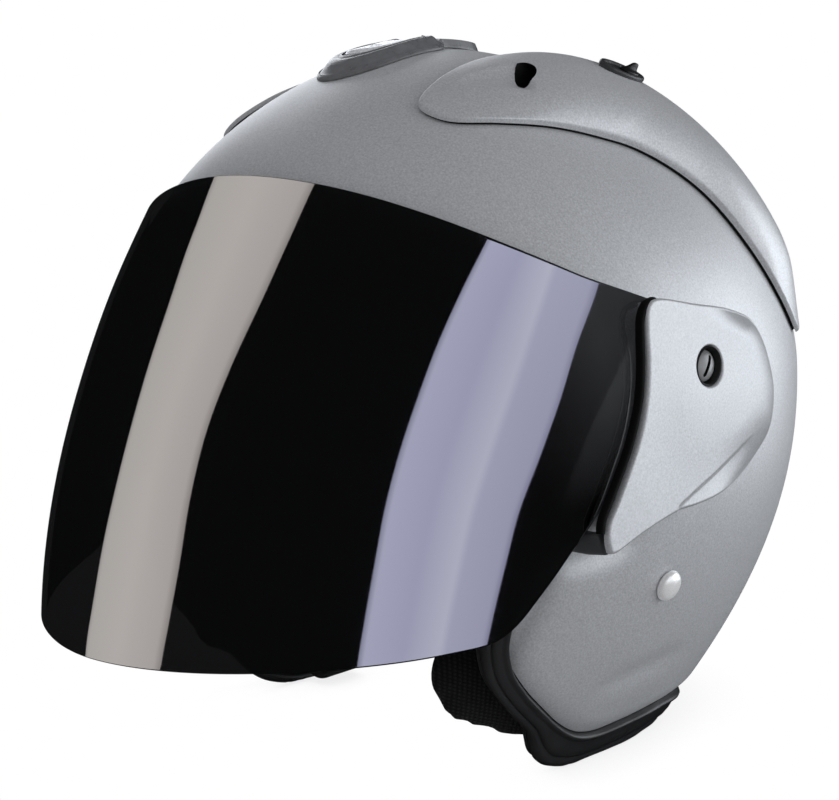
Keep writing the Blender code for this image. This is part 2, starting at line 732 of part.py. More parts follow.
def add_cover_screws():
    face_x = float(cover_face(SCREW_Y, SCREW_Z, share=0.0, edge_y=0.0))
    face = face_x - SCREW_BASE_X
    profile = [(0, 0), (SCREW_RADIUS, 0), (SCREW_RADIUS, face - 1.3),
               (SCREW_TOP_RADIUS, face - 0.7), (0, face - 0.6)]
    base = np.array([SCREW_BASE_X, SCREW_Y, SCREW_Z])
    screws = add_pair("cover_screw", lathe(profile, base, X_AXIS, around=24), STEEL)

    along = np.array([0.0, math.cos(SLOT_ANGLE), math.sin(SLOT_ANGLE)]) * SLOT_HALF_LENGTH
    across = np.cross(X_AXIS, unit(along)) * SLOT_HALF_WIDTH
    slot = []
    for x in (face_x - 2.0, face_x + 1.0):
        centre = np.array([x, SCREW_Y, SCREW_Z])
        slot.append([centre + a * along + b * across
                     for a, b in ((-1, -1), (-1, 1), (1, 1), (1, -1))])
    for screw, cutter in zip(screws, add_pair("cut_slot", sweep(slot), STEEL)):
        subtract(screw, cutter, "slot")


def add_cover_lips():
    line = spline([(y + LIP_SHIFT_Y, z) for y, z in LIP_LINE], 20)
    lip = flat_band(line, LIP_WIDTH, axis=0, start=LIP_INNER_X, stop=LIP_OUTER_X)
    add_pair("cover_lip", lip, RUBBER)


def add_shield_stops():
    low = [(float(side_x(y, z)) + STOP_SHELL_GAP, y, z) for y, z in STOP_EDGE]
    high = [(STOP_FACE_X, y, z) for y, z in STOP_EDGE]
    add_pair("shield_stop", sweep([low, high]), PLASTIC)


# ---------------------------------------------------------------- strap rivets
# (radius, height above the shell)
RIVET_PROFILE = [(0, 0.35), (5.9, 0.35), (6.1, 0.9), (5.2, 2.3), (3.2, 3.4), (0, 3.9)]
ANCHOR_RADIUS, ANCHOR_THICKNESS = 6.5, 0.6
ANCHOR_GAP = 0.7  # from the shell's inner face


def add_rivets():
    base = np.array([float(side_x(RIVET_Y, RIVET_Z)), RIVET_Y, RIVET_Z])
    normal = normals(base)
    add_pair("strap_rivet", lathe(RIVET_PROFILE, base, normal, around=20), CHROME)
    inside = base - normal * (SHELL_WALL + ANCHOR_GAP)
    anchor = disc(ANCHOR_RADIUS, 0, -ANCHOR_THICKNESS, inside, normal, around=20)
    add_pair("strap_anchor", anchor, STEEL)


# ---------------------------------------------------------------- chin straps and D-rings
STRAP_WIDTH = 22.0
STRAP_THICKNESS = 1.3
STRAP_Y0, STRAP_Y1 = RIVET_Y - STRAP_WIDTH / 2, RIVET_Y + STRAP_WIDTH / 2
STRAP_WALL_Z = np.array([-57.0, -68, -80, -92, -104, -114, -121])  # stations down the wall
# (x, z) round the bottom turn and up again
STRAP_TURN = [(74.6, -125.4), (71.0, -128.2), (66.0, -129.2), (60.5, -127.6),
              (57.0, -122.5), (56.2, -112.0)]
LEFT_STRAP_END = [(56.0, -103.5)]
RIGHT_STRAP_END = [(56.0, -104), (54.5, -97.0), (49.5, -95.0), (46.0, -99.0),
                   (45.2, -108.0), (45.0, -119.0)]
RING_X, RING_Z = 52.8, -103.0
CURL_RADIUS = 3.2  # of the left strap round the rings' bars
RING_OFFSET = 1.15  # of each ring's bar from RING_X
RING_LEAN = math.radians(9)
RING_HALF_WIDTH, RING_HEIGHT = 14.6, 17.0
RING_CORNER = 2.5
RING_ARCH_START = 4.5  # height where the arch begins
WIRE_RADIUS = 0.95


def strap_line(end, count):
    inset = 9.7 + 2.4 * smooth((-STRAP_WALL_Z - 90.0) / 22.0)
    wall = np.column_stack([side_x(RIVET_Y, STRAP_WALL_Z) - inset, STRAP_WALL_Z])
    return spline(np.concatenate([wall, STRAP_TURN, end]), count)


def strap_band(line):
    return flat_band(line, STRAP_THICKNESS, axis=1, start=STRAP_Y0, stop=STRAP_Y1)


def add_chin_straps():
    angle = np.linspace(math.radians(10), math.radians(292), 16)
    curl = np.column_stack([RING_X + CURL_RADIUS * np.cos(angle),
                            RING_Z + CURL_RADIUS * np.sin(angle)])
    left = np.concatenate([strap_line(LEFT_STRAP_END, 34)[:-1], curl])
    add_piece("chin_strap_left", strap_band(left), WEBBING)
    right = strap_band(strap_line(RIGHT_STRAP_END, 46))
    add_piece("chin_strap_right", mirror_shape(right), WEBBING)


def add_d_ring(name, bar_x, lean):
    """A bent wire D whose straight bar lies along y; lean tips its arch towards +X."""
    bar_half = RING_HALF_WIDTH - RING_CORNER
    bar = np.column_stack([np.linspace(-bar_half, bar_half, 6), np.zeros(6)])
    angle = np.linspace(0.35, math.pi / 2, 4)
    corner = np.column_stack([bar_half + RING_CORNER * np.sin(angle),
                              RING_CORNER - RING_CORNER * np.cos(angle)])
    angle = np.linspace(0.0, math.pi, 13)
    arch_rise = RING_HEIGHT - RING_ARCH_START
    arch = np.column_stack([RING_HALF_WIDTH * np.cos(angle),
                            RING_ARCH_START + arch_rise * np.sin(angle)])
    path = np.concatenate([bar, corner, arch, corner[::-1] * [-1, 1]])
    outward = quarter_turn(unit(np.roll(path, -1, axis=0) - np.roll(path, 1, axis=0)))

    origin = np.array([bar_x, RIVET_Y, RING_Z])
    up = np.array([math.sin(lean), 0.0, math.cos(lean)])
    across = np.array([math.cos(lean), 0.0, -math.sin(lean)])
    plane = np.array([Y_AXIS, up])
    sections = [oval(origin + flat @ plane, out @ plane, across, WIRE_RADIUS, WIRE_RADIUS, 8)
                for flat, out in zip(path, outward)]
    add_piece(name, sweep(sections, closed=True), CHROME, origin)


# ---------------------------------------------------------------- crown vent
# Left half outlines (x, y) from the front to the back
VENT_HALF = [
    (0, -48.5), (6, -47.5), (12, -44), (16.5, -37.5), (18.6, -29.5), (19, -20.5),
    (18.6, -11.5), (16.5, -5), (12.2, -2.5), (11.2, 1.5), (11.4, 9.5), (10.4, 17.5),
    (6.5, 23), (0, 24.5),
]
SHUTTER_HALF = [(0, -36.8), (4, -36.1), (7.2, -33.3), (9, -29), (9.6, -23.5),
                (9.6, -18.5), (8.9, -16.3), (0, -16.3)]
VENT_Y = -18.5
VENT_SHARES = np.array([0.35, 0.62, 0.66, 0.82, 0.94, 1.0])
VENT_UNDERSIDE = 0.3  # heights above the shell
TRAY_LIFT = 2.0
SHUTTER_Y = -25.5
SHUTTER_SHARES = np.array([0.4, 0.75, 0.93, 1.0])
SHUTTER_SLOPE = math.tan(math.radians(11.2))
SHUTTER_TOP, SHUTTER_UNDERSIDE = 4.9, 3.0  # above the shell at SHUTTER_Y


def add_vent_base():
    """A raised body with a sunken tray in it and a low tail behind."""
    plan = rays([0.0, VENT_Y], both_sides(VENT_HALF), VENT_SHARES)
    x, y = plan[..., 0], plan[..., 1]
    body = 1 - smooth((y + 8.5) / 6.0)
    wall = 1 - smooth((VENT_SHARES - 0.66) / 0.34) ** 2
    in_tray = (VENT_SHARES < 0.64) & (y < -3.5)
    lift = np.where(in_tray, TRAY_LIFT, 2.4 + 2.3 * body * wall)
    shell = top_z(x, y)
    pole = np.array([0, VENT_Y, float(top_z(0.0, VENT_Y))])
    base = pillow(pole + Z_AXIS * TRAY_LIFT, np.dstack([plan, shell + lift]),
                  pole + Z_AXIS * VENT_UNDERSIDE, np.dstack([plan, shell + VENT_UNDERSIDE]))
    add_piece("top_vent_base", base, PLASTIC)


def add_vent_shutter():
    """A slider on a straight sloping plane, slightly crowned across its width."""
    plan = rays([0.0, SHUTTER_Y], both_sides(SHUTTER_HALF), SHUTTER_SHARES)
    x, y = plan[..., 0], plan[..., 1]
    pole = np.array([0, SHUTTER_Y, float(top_z(0.0, SHUTTER_Y))])
    plane = pole[2] + (y - SHUTTER_Y) * SHUTTER_SLOPE
    edge_drop = 0.9 * smooth((SHUTTER_SHARES - 0.6) / 0.4)
    upper = plane + SHUTTER_TOP - edge_drop - 0.010 * x**2
    lower = plane + SHUTTER_UNDERSIDE - 0.006 * x**2
    shutter = pillow(pole + Z_AXIS * SHUTTER_TOP, np.dstack([plan, upper]),
                     pole + Z_AXIS * SHUTTER_UNDERSIDE, np.dstack([plan, lower]))
    add_piece("top_vent_shutter", shutter, PAINT)


# ---------------------------------------------------------------- diffusers
# Points (x, y, z) round the left wing; only their directions from the shell centre count
DIFFUSER_EDGE = [
    (51.5, -53, 103.5), (62.5, -50, 97.4), (72, -35, 96), (80, -13, 94), (84, 3, 90),
    (89, 20, 85), (97, 42, 70), (105, 59, 47), (107.5, 74, 27), (103.5, 88, 13),
    (100, 97, 24), (93, 103, 42), (81, 103, 62), (66, 96, 82), (52, 80, 99),
    (43, 60, 111), (39, 38, 119), (38, 15, 122), (41, -8, 121), (44.5, -29, 116),
    (47, -43, 110),
]
DIFFUSER_POLE = np.array([72.0, 38.0, 96.0])
DIFFUSER_SHARES = np.array([0.3, 0.58, 0.8, 0.93, 1.0])
DIFFUSER_UNDERSIDE = 1.15  # heights above the shell
DIFFUSER_EDGE_LIFT = 2.8
DIFFUSER_RISE = 8.6  # added at the fullest part
GASKET_SHARES = np.array([0.965, 1.004])
GASKET_TOP, GASKET_UNDERSIDE = 0.8, 0.3

SEAT_DIRECTION = np.array([60.5, 36.0, 106.0])
SEAT_LIFT = 11.6
# (height above the seat, share of full size)
BEZEL_RINGS = [(0.0, 1.0), (1.3, 1.0), (1.9, 0.86)]
BEZEL_HALF_LENGTH, BEZEL_HALF_WIDTH = 11.5, 6.5
# (height above the seat, half length, half width)
KNOB_RINGS = [(2.2, 3.6, 3.0), (3.0, 3.3, 2.6), (4.6, 2.2, 1.0), (5.0, 1.4, 0.6)]
KNOB_BASE = KNOB_RINGS[0][0]
KNOB_SHIFT = 4.0  # of the knob's foot behind the seat's centre
KNOB_LEAN = 0.5  # backward shift per unit of height


def diffuser_lift(base, share):
    """Height of the wing's outer face above the shell point base."""
    y, z = base[..., 1], base[..., 2]
    front = 0.24 + 0.76 * smooth((y + 52.0) / 62.0)
    tail = 1 - 0.75 * smooth((42.0 - z) / 34.0)
    dome = 1 - share**3.2
    # the rear edge stays raised
    rear = 0.5 * smooth((y - 70.0) / 30.0) * smooth((z - 30) / 20.0)
    fullness = np.clip(dome + rear * (1 - dome), 0, 1)
    return DIFFUSER_EDGE_LIFT + DIFFUSER_RISE * front * tail * fullness


def add_diffusers():
    rim = spline(DIFFUSER_EDGE, 38, closed=True)
    base = on_shell(slerp(DIFFUSER_POLE, rim, DIFFUSER_SHARES))
    normal = normals(base)
    lift = diffuser_lift(base, DIFFUSER_SHARES)[..., None]
    pole = on_shell(DIFFUSER_POLE)
    pole_normal = normals(pole)
    wing = pillow(
        pole + pole_normal * diffuser_lift(pole, 0.0), base + normal * lift,
        pole + pole_normal * DIFFUSER_UNDERSIDE, base + normal * DIFFUSER_UNDERSIDE)
    add_pair("diffuser", wing, PAINT)

    # soft gasket between the wing's edge and the shell
    base = on_shell(slerp(DIFFUSER_POLE, rim, GASKET_SHARES))
    normal = normals(base)
    gasket = annulus(base + normal * GASKET_TOP, base + normal * GASKET_UNDERSIDE)
    add_pair("diffuser_gasket", gasket, RUBBER)


def add_diffuser_controls():
    """A dark oval plate and its knob, near the highest part of each wing."""
    shell = on_shell(SEAT_DIRECTION)
    normal = normals(shell)
    along = np.array([0.12, 1.0, 0.0])
    along = unit(along - normal * (along @ normal))
    across = np.cross(normal, along)
    seat = shell + normal * SEAT_LIFT

    bezel = [oval(seat + normal * height, along, across,
                  BEZEL_HALF_LENGTH * size, BEZEL_HALF_WIDTH * size, 24)
             for height, size in BEZEL_RINGS]
    add_pair("diffuser_bezel", sweep(bezel), PLASTIC)

    knob = []
    for height, half_length, half_width in KNOB_RINGS:
        shift = KNOB_SHIFT + KNOB_LEAN * (height - KNOB_BASE)
        centre = seat + along * shift + normal * height
        knob.append(oval(centre, along, across, half_length, half_width, 16))
    origin = seat + along * KNOB_SHIFT + normal * KNOB_BASE
    add_pair("diffuser_knob", sweep(knob), PLASTIC, origin)


# ---------------------------------------------------------------- build
add_shell()
add_liner()
add_edge_trim()
add_crown_pad()
add_cheek_pads()
add_neck_roll()
add_face_shield()
add_pivots()
add_side_covers()
add_cover_screws()
add_cover_lips()
add_shield_stops()
add_rivets()
add_chin_straps()
add_d_ring("d_ring_outer", RING_X + RING_OFFSET, RING_LEAN)
add_d_ring("d_ring_inner", RING_X - RING_OFFSET, -RING_LEAN)
add_vent_base()
add_vent_shutter()
add_diffusers()
add_diffuser_controls()
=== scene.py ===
# Looks of an open face motorcycle helmet with a smoked shield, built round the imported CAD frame.
# Shapes are drawn in the shell frame, in millimetres: front is -Y, the wearer's left is +X, up is
# +Z. from_shell() turns them into the frame's metres, with the ground at z = 0.
# One-sided pieces are drawn on the left and mirrored.
import math

import bmesh
import bpy
import numpy as np
from mathutils import Matrix, Vector


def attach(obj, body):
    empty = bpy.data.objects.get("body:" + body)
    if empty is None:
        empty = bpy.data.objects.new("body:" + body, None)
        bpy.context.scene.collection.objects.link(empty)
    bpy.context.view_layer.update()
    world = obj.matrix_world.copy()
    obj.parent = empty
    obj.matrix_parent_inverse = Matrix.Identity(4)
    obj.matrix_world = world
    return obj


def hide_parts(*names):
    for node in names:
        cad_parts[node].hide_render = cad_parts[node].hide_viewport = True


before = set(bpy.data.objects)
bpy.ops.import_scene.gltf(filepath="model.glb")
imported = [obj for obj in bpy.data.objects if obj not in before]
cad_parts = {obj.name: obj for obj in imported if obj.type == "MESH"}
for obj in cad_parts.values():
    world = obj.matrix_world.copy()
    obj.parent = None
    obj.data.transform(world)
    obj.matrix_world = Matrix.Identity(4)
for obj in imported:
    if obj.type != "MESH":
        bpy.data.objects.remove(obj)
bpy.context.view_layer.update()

scene = bpy.context.scene

# ------------------------------------------------------------------ main sizes (mm)
MM = 0.001
BASE_DROP = 132.0  # height of the shell frame's origin above the ground
ORIGIN_Y = -10.566  # the CAD origin, in the shell frame
TO_GROUND = np.array([0.0, -ORIGIN_Y, BASE_DROP])
MIRROR = np.array([-1, 1, 1])

# Shell envelope: half sizes at the widest level, and the powers of its rounded plan and dome
HALF_WIDTH, FRONT, BACK = 124.0, 126.3, 145.8
CROWN, LOW = 127.9, 118.0
PLAN_POWER, DOME_POWER = 2.305, 1.836
SIDE_TAPER, SIDE_TAPER_POWER = 0.27, 2.057
BACK_TAPER, BACK_TAPER_POWER = 0.404, 2.322
FRONT_FLARE = 0.03
SHELL_WALL = 4.0

# Places on the side view
PIVOT_Y, PIVOT_Z = 2.0, 13.0
SCREW_Y, SCREW_Z = -1.8, 12.2
RIVET_Y, RIVET_Z = -6.5, -64.0

# Half of the shell's rim, front centre to back centre: (azimuth from the front in degrees, z)
RIM = [
    (0, 58), (20, 57.5), (38, 54), (52, 44), (61, 28), (65.5, 8), (66, -14), (63.5, -36),
    (58.5, -54), (55.5, -70), (55.8, -82), (58.4, -92), (62.6, -102), (67.4, -111),
    (73, -117.5), (80, -120.4), (90, -120.2), (103, -119.6), (120, -121.4), (150, -124.4),
    (180, -125.4),
]


# ------------------------------------------------------------------ curves and directions
def smooth(share):
    share = np.clip(share, 0.0, 1.0)
    return share * share * (3 - 2 * share)


def soft_max(first, second, blend):
    return 0.5 * (first + second + np.sqrt((first - second) ** 2 + blend * blend))


def bell(offset):
    return np.exp(-offset * offset)


def unit(vectors):
    return vectors / np.linalg.norm(vectors, axis=-1, keepdims=True)


def square_to(vectors, axis):
    """Unit vectors with the part along the unit axis taken out."""
    return unit(vectors - axis * (vectors * axis).sum(-1, keepdims=True))


def quarter_turn(run):
    return np.stack([-run[:, 1], run[:, 0]], -1)


def loop_run(loop):
    """Unit tangents of a closed line."""
    return unit(np.roll(loop, -1, axis=0) - np.roll(loop, 1, axis=0))


def slope(field, points, step):
    """Unit gradient of a field, by central differences."""
    moves = np.eye(3) * step
    return unit(np.stack([field(points + move) - field(points - move) for move in moves], -1))


def lengths(line):
    """Running length at each point of a line."""
    return np.concatenate([[0], np.cumsum(np.linalg.norm(np.diff(line, axis=0), axis=1))])


def spline(points, count, closed=False):
    """Evenly spaced points on a smooth curve through the given ones."""
    points = np.asarray(points, float)
    total = len(points)
    spans = total if closed else total - 1

    def point(i):
        return points[i % total if closed else min(max(i, 0), total - 1)]

    t = np.linspace(0, 1, 40, endpoint=False)[:, None]
    fine = []
    for i in range(spans):
        before, start, end, after = (point(i + step) for step in (-1, 0, 1, 2))
        square = (2 * before - 5 * start + 4 * end - after) * t * t
        cube = (3 * start - before - 3 * end + after) * t**3
        fine.append(0.5 * (2 * start + (end - before) * t + square + cube))
    fine = np.concatenate(fine + [point(spans)[None]])
    run = lengths(fine)
    want = np.linspace(0, run[-1], count + (1 if closed else 0))
    out = np.stack([np.interp(want, run, column) for column in fine.T], -1)
    return out[:-1] if closed else out


def slerp(pole, rim, shares):
    """Directions on great arcs from the pole to each rim point: (rim points, shares, 3)."""
    pole, rim = unit(pole), unit(rim)
    angle = np.arccos(np.clip(rim @ pole, -1, 1))[:, None, None]
    share = np.asarray(shares)[None, :, None]
    arcs = np.sin((1 - share) * angle) * pole + np.sin(share * angle) * rim[:, None, :]
    return arcs / np.sin(angle)


def to_line(points, line):
    """Distance from points to a polyline, the share (0..1) along it of the nearest place and,
    in 2-D, the side: +1 to the left of the line's run, -1 to the right."""
    points = np.asarray(points, float)
    shape = points.shape[:-1]
    flat = points.reshape(-1, points.shape[-1])
    line = np.asarray(line, float)
    nearest = np.full(len(flat), 1e9)
    along = np.zeros(len(flat))
    side = np.zeros(len(flat))
    run = lengths(line)
    for i in range(len(line) - 1):
        start = line[i]
        leg = line[i + 1] - start
        share = np.clip(((flat - start) @ leg) / (leg @ leg), 0, 1)
        distance = np.linalg.norm(flat - (start + share[:, None] * leg), axis=1)
        closer = distance < nearest
        nearest = np.where(closer, distance, nearest)
        along = np.where(closer, (run[i] + share * (run[i + 1] - run[i])) / run[-1], along)
        if points.shape[-1] == 2:
            cross = leg[0] * (flat[:, 1] - start[1]) - leg[1] * (flat[:, 0] - start[0])
            side = np.where(closer, np.sign(cross), side)
    return nearest.reshape(shape), along.reshape(shape), side.reshape(shape)


# ------------------------------------------------------------------ the shell's envelope
# `offset` moves the envelope outward; a negative one moves it inward.
def half_sizes(z, offset=0.0):
    """Half width, front reach and back reach at a height."""
    drop = np.clip(-z, 0, None) / LOW
    half_width = HALF_WIDTH * (1 - SIDE_TAPER * drop**SIDE_TAPER_POWER) + offset
    front = FRONT * (1 + FRONT_FLARE * drop**2) + offset
    back = BACK * (1 - np.clip(BACK_TAPER * drop**BACK_TAPER_POWER, 0, 0.8)) + offset
    return half_width, front, back


def level(points, offset=0.0):
    """Below zero inside the envelope, above zero outside."""
    x, y, z = points[..., 0], points[..., 1], points[..., 2]
    half_width, front, back = half_sizes(z, offset)
    plan = (np.abs(x) / half_width) ** PLAN_POWER
    plan = plan + (np.abs(y) / np.where(y < 0, front, back)) ** PLAN_POWER
    rise = (np.clip(z, 0, None) / (CROWN + offset)) ** DOME_POWER
    return (plan ** (DOME_POWER / PLAN_POWER) + rise) ** (1 / DOME_POWER) - 1


def on_shell(directions, offset=0.0):
    """Where rays from the origin meet the envelope, by bisection."""
    rays = unit(np.asarray(directions, float))
    near = np.full(rays.shape[:-1], 20.0)
    far = np.full(rays.shape[:-1], 320.0)
    for _ in range(30):
        middle = (near + far) / 2
        outside = level(rays * middle[..., None], offset) > 0
        far = np.where(outside, middle, far)
        near = np.where(outside, near, middle)
    return rays * near[..., None]


def normals(points):
    return slope(level, points, step=0.05)


def plan_room(z, offset=0.0):
    """What the dome leaves of the plan term at a height."""
    rise = (np.clip(z, 0, None) / (CROWN + offset)) ** DOME_POWER
    return np.clip(1 - rise, 1e-9, 1) ** (PLAN_POWER / DOME_POWER)


def side_x(y, z):
    """Half width of the envelope at a side-view place."""
    y, z = np.asarray(y, float), np.asarray(z, float)
    half_width, front, back = half_sizes(z)
    left = plan_room(z) - (np.abs(y) / np.where(y < 0, front, back)) ** PLAN_POWER
    return half_width * np.clip(left, 1e-9, None) ** (1 / PLAN_POWER)


def at_azimuth(degrees, z, offset=0.0):
    """Envelope point at an azimuth from the front towards the left, and a height."""
    z = np.asarray(z, float)
    half_width, front, back = half_sizes(z, offset)
    sine, cosine = np.sin(np.radians(degrees)), np.cos(np.radians(degrees))
    plan = (np.abs(sine) / half_width) ** PLAN_POWER
    plan = plan + (np.abs(cosine) / np.where(cosine > 0, front, back)) ** PLAN_POWER
    radius = (plan_room(z, offset) / plan) ** (1 / PLAN_POWER)
    return np.stack([radius * sine, -radius * cosine, z + 0 * radius], -1)


def top_z(x, y):
    """Height of the dome over a plan place."""
    reach = np.where(np.asarray(y) < 0, FRONT, BACK)
    plan = (np.abs(x) / HALF_WIDTH) ** PLAN_POWER + (np.abs(y) / reach) ** PLAN_POWER
    return CROWN * np.clip(1 - plan ** (DOME_POWER / PLAN_POWER), 0, 1) ** (1 / DOME_POWER)


def half_rim(count):
    """The rim's left half, from front centre to back centre."""
    line = spline([at_azimuth(azimuth, z) for azimuth, z in RIM], count)
    line[[0, -1], 0] = 0.0
    return line


# ------------------------------------------------------------------ meshes
def from_shell(points):
    return (np.asarray(points, float) + TO_GROUND) * MM


def to_shell(points):
    return points / MM - TO_GROUND


def vertex_places(mesh):
    return np.array([vertex.co for vertex in mesh.vertices], float)


def smooth_faces(mesh):
    for face in mesh.polygons:
        face.use_smooth = True


def solid(name, points, faces, mat, merge=None):
    """A smooth-shaded closed object with its normals outward; `merge` joins points that close."""
    mesh = bpy.data.meshes.new(name)
    mesh.from_pydata(from_shell(points).tolist(), [], [tuple(map(int, face)) for face in faces])
    work = bmesh.new()
    work.from_mesh(mesh)
    if merge:
        bmesh.ops.remove_doubles(work, verts=work.verts, dist=merge * MM)
    bmesh.ops.recalc_face_normals(work, faces=work.faces)
    if work.calc_volume(signed=True) < 0:
        bmesh.ops.reverse_faces(work, faces=work.faces)
    for face in work.faces:
        face.smooth = True
    work.to_mesh(mesh)
    work.free()
    mesh.materials.append(mat)
    made = bpy.data.objects.new(name, mesh)
    scene.collection.objects.link(made)
    return made


def add(name, points, faces, mat, slot, sharp, replaces=None, body="helmet", merge=None):
    """A visual piece that rides on its CAD body; edges over `sharp` degrees are creased."""
    made = solid(name, points, faces, mat, merge)
    made.data.set_sharp_from_angle(angle=math.radians(sharp))
    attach(made, body)
    if replaces:
        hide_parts(replaces)
    return made


def mirrored(points, faces):
    return np.asarray(points, float) * MIRROR, [face[::-1] for face in faces]


def both(name, points, faces, mat, slot, sharp, replaces=None, bodies=("helmet", "helmet")):
    """A left piece and its mirrored right twin."""
    made = []
    shapes = (points, faces), mirrored(points, faces)
    for tag, shape, body in zip(("left", "right"), shapes, bodies):
        node = f"{replaces}_{tag}" if replaces else None
        made.append(add(f"{name}_{tag}", *shape, mat, slot, sharp, node, body))
    return made


def bake(obj):
    """Replaces the object's mesh with its evaluated mesh and drops its modifiers."""
    bpy.context.view_layer.update()
    graph = bpy.context.evaluated_depsgraph_get()
    mesh = bpy.data.meshes.new_from_object(
        obj.evaluated_get(graph), preserve_all_data_layers=True, depsgraph=graph)
    obj.modifiers.clear()
    old = obj.data
    obj.data = mesh
    bpy.data.meshes.remove(old)


def cut(piece, points, faces, lining):
    """Cuts a closed shape out of a piece; the cut faces take the lining material."""
    cutter = solid("cutter", points, faces, lining)
    mod = piece.modifiers.new("cut", "BOOLEAN")
    mod.operation = "DIFFERENCE"
    mod.solver = "EXACT"
    mod.object = cutter
    mod.material_mode = "TRANSFER"
    bake(piece)
    bpy.data.objects.remove(cutter, do_unlink=True)


def fan_faces(around, rings, first):
    """A pole at index `first`, then rings of points outward from it."""
    def at(k, ring):
        return first + 1 + ring * around + (k % around)

    faces = [(first, at(k, 0), at(k + 1, 0)) for k in range(around)]
    for ring in range(rings - 1):
        faces += [(at(k, ring), at(k, ring + 1), at(k + 1, ring + 1), at(k + 1, ring))
                  for k in range(around)]
    return faces


def pillow(outer_pole, outer, inner_pole, inner, stitched=None):
    """Two polar sheets (around, rings, 3) joined along their last rings.
    `stitched` limits the join to that many edges."""
    around, outer_rings = outer.shape[:2]
    inner_rings = inner.shape[1]
    points = [outer_pole[None], outer.transpose(1, 0, 2).reshape(-1, 3),
              inner_pole[None], inner.transpose(1, 0, 2).reshape(-1, 3)]
    start = 1 + around * outer_rings
    faces = fan_faces(around, outer_rings, 0)
    faces += [face[::-1] for face in fan_faces(around, inner_rings, start)]
    out = 1 + (outer_rings - 1) * around
    into = start + 1 + (inner_rings - 1) * around
    for k in range(around if stitched is None else stitched):
        after = (k + 1) % around
        faces.append((out + k, into + k, into + after, out + after))
    return np.concatenate(points), faces


def sweep(sections, closed):
    """A skin over closed sections (sections, around, 3): end to end if closed, else capped."""
    sections = np.asarray(sections, float)
    total, around = sections.shape[:2]
    faces = []
    for i in range(total if closed else total - 1):
        here, there = i * around, (i + 1) % total * around
        for k in range(around):
            after = (k + 1) % around
            faces.append((here + k, here + after, there + after, there + k))
    if not closed:
        faces.append(tuple(range(around))[::-1])
        faces.append(tuple((total - 1) * around + k for k in range(around)))
    return sections.reshape(-1, 3), faces


def lathe(profile, centre, axis, around):
    """Turns (radius, height) pairs round an axis; a profile that starts off the axis is a loop."""
    axis = unit(np.asarray(axis, float))
    side = unit(np.cross(axis, [0.0, 0.31, 0.95]))
    up = np.cross(axis, side)
    points, faces, rows = [], [], []
    for radius, height in profile:
        middle = centre + axis * height
        if radius < 1e-6:
            rows.append([len(points)])
            points.append(middle)
        else:
            rows.append(list(range(len(points), len(points) + around)))
            for k in range(around):
                turn = 2 * math.pi * k / around
                points.append(middle + radius * (math.cos(turn) * side + math.sin(turn) * up))
    pairs = list(zip(rows[:-1], rows[1:]))
    if len(rows[0]) > 1:
        pairs.append((rows[-1], rows[0]))
    for low, high in pairs:
        for k in range(around):
            after = (k + 1) % around
            if len(low) == 1:
                faces.append((low[0], high[k], high[after]))
            elif len(high) == 1:
                faces.append((low[k], high[0], low[after]))
            else:
                faces.append((low[k], high[k], high[after], low[after]))
    return np.array(points), faces


def ellipse_stack(centre, along, across, up, stations, around):
    """Capped stack of ellipses. Stations: height, half length, half width, shift along."""
    turns = np.linspace(0, 2 * math.pi, around, endpoint=False)[:, None]
    rows = [centre + along * (shift + half_length * np.cos(turns))
            + across * half_width * np.sin(turns) + up * height
            for height, half_length, half_width, shift in stations]
    return sweep(rows, False)


